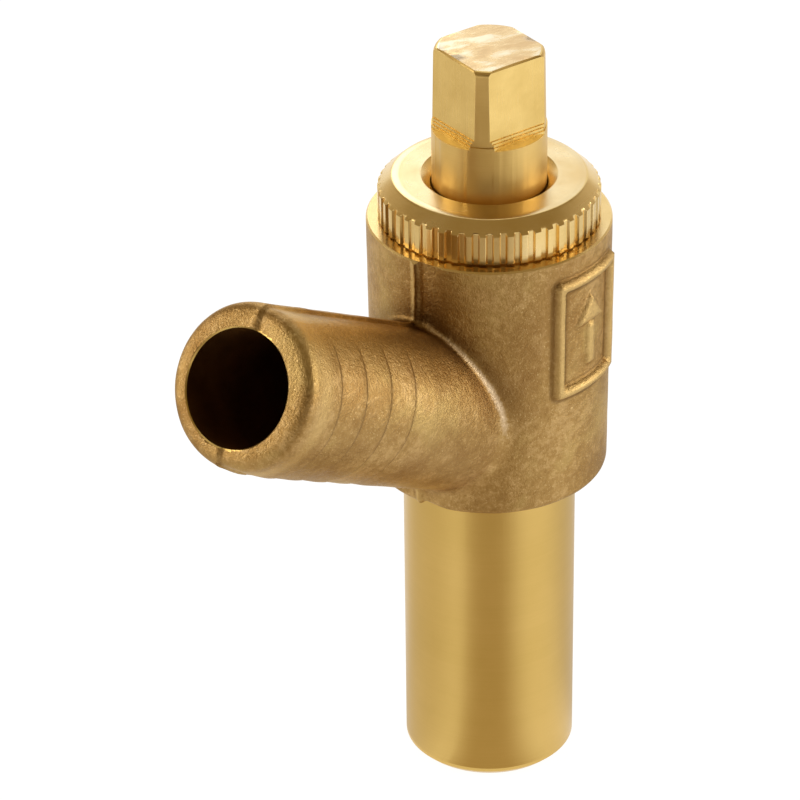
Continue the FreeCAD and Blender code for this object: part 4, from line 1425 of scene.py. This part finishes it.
@dataclass
class Studio:
    """Camera, floor, cards and lamps. Lengths are in metres."""

    target: Vector = field(default_factory=lambda: Vector((0, 0, 0.03464)))
    azimuth: float = 125.85
    elevation: float = 30.98
    distance: float = 0.35577
    lens: float = 185.15
    sensor: float = 36.0
    shift: float = -0.1116
    floor_radius: float = 3.0
    floor_glow: float = 0.8
    floor_strength: float = 1.16
    floor_colour: Colour = (0.9, 0.9, 0.9, 1)
    ambient: float = 0.5
    lamps: Sequence[Lamp] = (
        Lamp("left", 38, 17, 0.5, 0.25, 0.24, 0.5),
        Lamp("right", 215, 12, 0.5, 0.25, 0.28, 0.7),
        Lamp("back", 320, 31, 0.5, 0.16, 0.2, 0.13),
    )
    floor_cards: Sequence[FloorCard] = (
        FloorCard("front_card", 125.85, 46, 0.0, 0.30, (0.60, 0.51, 0.38, 1), (0.12, 0.085, 0.05, 1)),
        FloorCard("left_card", 35, 62, 0.0, 0.30, (0.80, 0.77, 0.71, 1), (0.68, 0.63, 0.56, 1)),
        FloorCard("right_card", 250, 50, 0.0, 0.15, (0.76, 0.74, 0.70, 1), (0.76, 0.74, 0.70, 1)),
    )
    flags: Sequence[Flag] = (
        Flag("camera_flag", 125.85, 29, 0.5, 0.46, 0.33, (0.08, 0.055, 0.03, 1)),
        Flag("low_flag", 176, 2, 0.45, 0.22, 0.12, (0.12, 0.085, 0.05, 1)),
    )
    dome: Dome = Dome("dull_sky", 125.85, 146, 3, 90, 0.8, (0.84, 0.74, 0.58, 1), (0.29, 0.22, 0.115, 1))
    card_height: float = 0.0008
    dome_rows: int = 12
    dome_dull_height: float = 0.7

    def direction(self, azimuth: float, elevation: float) -> Vector:
        """Give the direction from the object to a place round it."""
        a, e = math.radians(azimuth), math.radians(elevation)
        return Vector((math.sin(a) * math.cos(e), -math.cos(a) * math.cos(e), math.sin(e)))

    def aim(self, thing: bpy.types.Object, azimuth: float, elevation: float, distance: float) -> None:
        """Place a camera or a lamp round the object and point it there."""
        back = self.direction(azimuth, elevation)
        thing.location = self.target + back * distance
        thing.rotation_mode = "QUATERNION"
        thing.rotation_quaternion = (-back).to_track_quat("-Z", "Y")
        bpy.context.scene.collection.objects.link(thing)

    def camera(self) -> None:
        """Set the camera where the photograph was taken from."""
        data = bpy.data.cameras.new("camera")
        data.lens, data.sensor_width, data.shift_x = self.lens, self.sensor, self.shift
        data.clip_start, data.clip_end = 0.01, 20.0
        made = bpy.data.objects.new("camera", data)
        self.aim(made, self.azimuth, self.elevation, self.distance)
        bpy.context.scene.camera = made

    def light(self) -> None:
        """Set up the soft lamps."""
        for lamp in self.lamps:
            data = bpy.data.lights.new(lamp.name, "AREA")
            data.shape, data.size, data.size_y, data.energy = "RECTANGLE", lamp.width, lamp.height, lamp.power
            self.aim(bpy.data.objects.new(lamp.name, data), lamp.azimuth, lamp.elevation, lamp.distance)

    def seen_share(self, tree: bpy.types.NodeTree) -> bpy.types.NodeSocket:
        """Give 1 for rays from the camera, mirrors and glass, and 0 for others."""
        rays = tree.nodes.new("ShaderNodeLightPath")
        total = rays.outputs["Is Camera Ray"]
        for name in ("Is Glossy Ray", "Is Transmission Ray"):
            larger = tree.nodes.new("ShaderNodeMath")
            larger.operation = "MAXIMUM"
            tree.links.new(total, larger.inputs[0])
            tree.links.new(rays.outputs[name], larger.inputs[1])
            total = larger.outputs["Value"]
        return total

    def world(self) -> None:
        """Surround the object with white, dimmer for the light that falls on it."""
        world = bpy.data.worlds.new("studio_white")
        bpy.context.scene.world = world
        world.use_nodes = True
        tree = world.node_tree
        back = tree.nodes["Background"]
        back.inputs["Color"].default_value = (1, 1, 1, 1)
        level = tree.nodes.new("ShaderNodeMapRange")
        level.inputs["To Min"].default_value = self.ambient
        tree.links.new(self.seen_share(tree), level.inputs["Value"])
        tree.links.new(level.outputs["Result"], back.inputs["Strength"])

    def floor(self) -> None:
        """Lay a white floor that keeps the object's shadow."""
        bm = bmesh.new()
        bmesh.ops.create_circle(bm, cap_ends=True, segments=64, radius=self.floor_radius)
        made = object_from(bm, "floor")
        material = bpy.data.materials.new("pale_floor")
        material.use_nodes = True
        tree = material.node_tree
        plain = tree.nodes["Principled BSDF"]
        plain.inputs["Base Color"].default_value = self.floor_colour
        plain.inputs["Roughness"].default_value = 0.9
        glow = tree.nodes.new("ShaderNodeEmission")
        glow.inputs["Strength"].default_value = self.floor_strength
        share = tree.nodes.new("ShaderNodeMath")
        share.operation = "MULTIPLY"
        share.inputs[1].default_value = self.floor_glow
        tree.links.new(self.seen_share(tree), share.inputs[0])
        both = tree.nodes.new("ShaderNodeMixShader")
        tree.links.new(share.outputs["Value"], both.inputs["Fac"])
        tree.links.new(plain.outputs["BSDF"], both.inputs[1])
        tree.links.new(glow.outputs["Emission"], both.inputs[2])
        tree.links.new(both.outputs["Shader"], tree.nodes["Material Output"].inputs["Surface"])
        made.data.materials.append(material)

    def glow_sheet(self, name: str, bm: bmesh.types.BMesh) -> tuple[bpy.types.NodeTree, bpy.types.NodeSocket]:
        """Make a sheet of even glow that only metal shows.

        Args:
            name: The sheet's name.
            bm: Its shape.

        Returns:
            The nodes of its material and the socket of its colour.
        """
        made = object_from(bm, name)
        material = bpy.data.materials.new(name)
        material.use_nodes = True
        tree = material.node_tree
        glow = tree.nodes.new("ShaderNodeEmission")
        tree.links.new(glow.outputs["Emission"], tree.nodes["Material Output"].inputs["Surface"])
        made.data.materials.append(material)
        made.visible_camera = made.visible_diffuse = made.visible_shadow = False
        return tree, glow.inputs["Color"]

    def lay_card(self, card: FloorCard) -> None:
        """Lay a grey wedge on the floor.

        Args:
            card: The card to lay.
        """
        out = self.direction(card.azimuth, 0)
        half = math.radians(card.half_angle)
        start = Matrix.Rotation(-half, 3, "Z") @ out
        bm = bmesh.new()
        ends = [bm.verts.new(start * reach + UP * self.card_height) for reach in (card.near + 0.001, card.far)]
        line = bm.edges.new(ends)
        bmesh.ops.spin(bm, geom=[*ends, line], cent=ORIGIN, axis=UP, angle=2 * half, steps=24)
        tree, shown = self.glow_sheet(card.name, bm)
        where = tree.nodes.new("ShaderNodeTexCoord").outputs["Object"]
        reaches = []
        for way in (out, UP.cross(out)):
            dot = tree.nodes.new("ShaderNodeVectorMath")
            dot.operation = "DOT_PRODUCT"
            dot.inputs[1].default_value = way
            tree.links.new(where, dot.inputs[0])
            reaches.append(dot.outputs["Value"])
        turn = tree.nodes.new("ShaderNodeMath")
        turn.operation = "ARCTAN2"
        tree.links.new(reaches[1], turn.inputs[0])
        tree.links.new(reaches[0], turn.inputs[1])
        size = tree.nodes.new("ShaderNodeMath")
        size.operation = "ABSOLUTE"
        tree.links.new(turn.outputs["Value"], size.inputs[0])
        depth = tree.nodes.new("ShaderNodeMapRange")
        fade = tree.nodes.new("ShaderNodeMapRange")
        fade.interpolation_type = "SMOOTHSTEP"
        for node, low, high in ((depth, card.near, card.far), (fade, 0.25 * half, half)):
            node.inputs["From Min"].default_value, node.inputs["From Max"].default_value = low, high
        tree.links.new(reaches[0], depth.inputs["Value"])
        tree.links.new(size.outputs["Value"], fade.inputs["Value"])
        tone, edge = [tree.nodes.new("ShaderNodeMix") for _ in range(2)]
        tone.data_type = edge.data_type = "RGBA"
        tone.inputs[6].default_value, tone.inputs[7].default_value = card.near_tone, card.far_tone
        edge.inputs[7].default_value = (1, 1, 1, 1)
        tree.links.new(depth.outputs["Result"], tone.inputs["Factor"])
        tree.links.new(fade.outputs["Result"], edge.inputs["Factor"])
        tree.links.new(tone.outputs[2], edge.inputs[6])
        tree.links.new(edge.outputs[2], shown)

    def hang_flag(self, flag: Flag) -> None:
        """Hang a grey card in the air.

        Args:
            flag: The card to hang.
        """
        back = self.direction(flag.azimuth, flag.elevation)
        place = Matrix.Translation(self.target + back * flag.distance)
        place @= back.to_track_quat("Z", "Y").to_matrix().to_4x4()
        place @= Matrix.Diagonal((flag.width / 2, flag.height / 2, 1, 1))
        bm = bmesh.new()
        bmesh.ops.create_grid(bm, x_segments=1, y_segments=1, size=1.0, matrix=place)
        _, shown = self.glow_sheet(flag.name, bm)
        shown.default_value = flag.tone

    def raise_dome(self) -> None:
        """Raise the dull sky round the front of the object."""
        half = math.radians(self.dome.half_angle)
        start = Matrix.Rotation(-half, 3, "Z") @ self.direction(self.dome.azimuth, 0)
        bm = bmesh.new()
        rows = []
        for step in range(self.dome_rows + 1):
            e = math.radians(self.dome.low + (self.dome.high - self.dome.low) * step / self.dome_rows)
            rows.append(bm.verts.new((start * math.cos(e) + UP * math.sin(e)) * self.dome.radius))
        for low, high in zip(rows, rows[1:]):
            bm.edges.new((low, high))
        bmesh.ops.spin(bm, geom=bm.verts[:] + bm.edges[:], cent=ORIGIN, axis=UP, angle=2 * half, steps=64)
        bmesh.ops.remove_doubles(bm, verts=bm.verts, dist=MERGE)
        tree, shown = self.glow_sheet(self.dome.name, bm)
        parts = tree.nodes.new("ShaderNodeSeparateXYZ")
        tree.links.new(tree.nodes.new("ShaderNodeTexCoord").outputs["Object"], parts.inputs["Vector"])
        rise = tree.nodes.new("ShaderNodeMapRange")
        rise.inputs["From Max"].default_value = self.dome.radius * self.dome_dull_height
        tree.links.new(parts.outputs["Z"], rise.inputs["Value"])
        tone = tree.nodes.new("ShaderNodeMix")
        tone.data_type = "RGBA"
        tone.inputs[6].default_value, tone.inputs[7].default_value = self.dome.low_tone, self.dome.high_tone
        tree.links.new(rise.outputs["Result"], tone.inputs["Factor"])
        tree.links.new(tone.outputs[2], shown)

    def build(self) -> None:
        """Set up the whole studio."""
        bpy.context.scene.view_settings.view_transform = "Standard"
        self.camera()
        self.light()
        self.world()
        self.floor()
        for card in self.floor_cards:
            self.lay_card(card)
        for flag in self.flags:
            self.hang_flag(flag)
        self.raise_dome()


@dataclass
class HiddenParts:
    """Seals and valve parts inside the body, which keep their CAD shapes."""

    rubber: tuple[str, ...] = ("gland_seal", "spindle_o_ring", "seat_washer")
    brass: tuple[str, ...] = ("jumper", "washer_nut")
    spring: tuple[str, ...] = ("jumper_clip",)

    def dress(self, rubber: bpy.types.Material, brass: bpy.types.Material, spring: bpy.types.Material) -> None:
        """Give the hidden parts their finishes.

        Args:
            rubber: Finish of the seals.
            brass: Finish of the turned parts.
            spring: Finish of the spring ring.
        """
        for names, finish in ((self.rubber, rubber), (self.brass, brass), (self.spring, spring)):
            for name in names:
                for slot in frame["nodes"][name].material_slots:
                    slot.material = finish
                log.info("%s: dressed in %s", name, finish.name)


def main() -> None:
    """Build the drain cock piece by piece and set up its studio."""
    logging.basicConfig(level=logging.INFO)
    stamped = StampedFinish().material()
    spigot = TurnedFinish("turned_spigot_brass", (0.63, 0.415, 0.115, 1), (0.69, 0.46, 0.14, 1), 0.28, 0.34,
                          ring_scale=5.0, ring_depth=0.002, cloud_scale=0.12).material()
    ring = TurnedFinish("turned_ring_brass", (0.79, 0.55, 0.20, 1), (0.90, 0.67, 0.31, 1), 0.2, 0.3).material()
    # The faced top of the ring is paler as a painted highlight
    faced = TurnedFinish("faced_ring_highlight", (0.84, 0.61, 0.28, 1), (0.93, 0.76, 0.44, 1), 0.2, 0.3).material()
    stem = TurnedFinish("turned_stem_brass", (0.72, 0.48, 0.15, 1), (0.82, 0.57, 0.20, 1), 0.36, 0.46).material()
    # The water ways are darkened as painted shade inside the bores
    way = TurnedFinish("water_way_painted_shade", (0.26, 0.11, 0.025, 1), (0.36, 0.17, 0.05, 1), 0.4, 0.55).material()
    inner = TurnedFinish("turned_inner_brass", (0.58, 0.40, 0.15, 1), (0.76, 0.56, 0.24, 1), 0.3, 0.42).material()
    spring = TurnedFinish("drawn_spring_bronze", (0.40, 0.22, 0.10, 1), (0.56, 0.34, 0.17, 1), 0.3, 0.45).material()
    StampedBody().build([stamped, spigot, way, ring])
    GlandNut().build([ring, faced])
    ledge = TurnedFinish("milled_ledge_brass", (0.84, 0.67, 0.32, 1), (0.90, 0.73, 0.37, 1), 0.3, 0.36,
                         ring_scale=3.0, ring_depth=0.0004).material()
    Spindle().build([stem, MilledFinish().material(), CroppedFinish().material(), ledge])
    HiddenParts().dress(RubberFinish().material(), inner, spring)
    Studio().build()


if __name__ == "__main__":
    main()
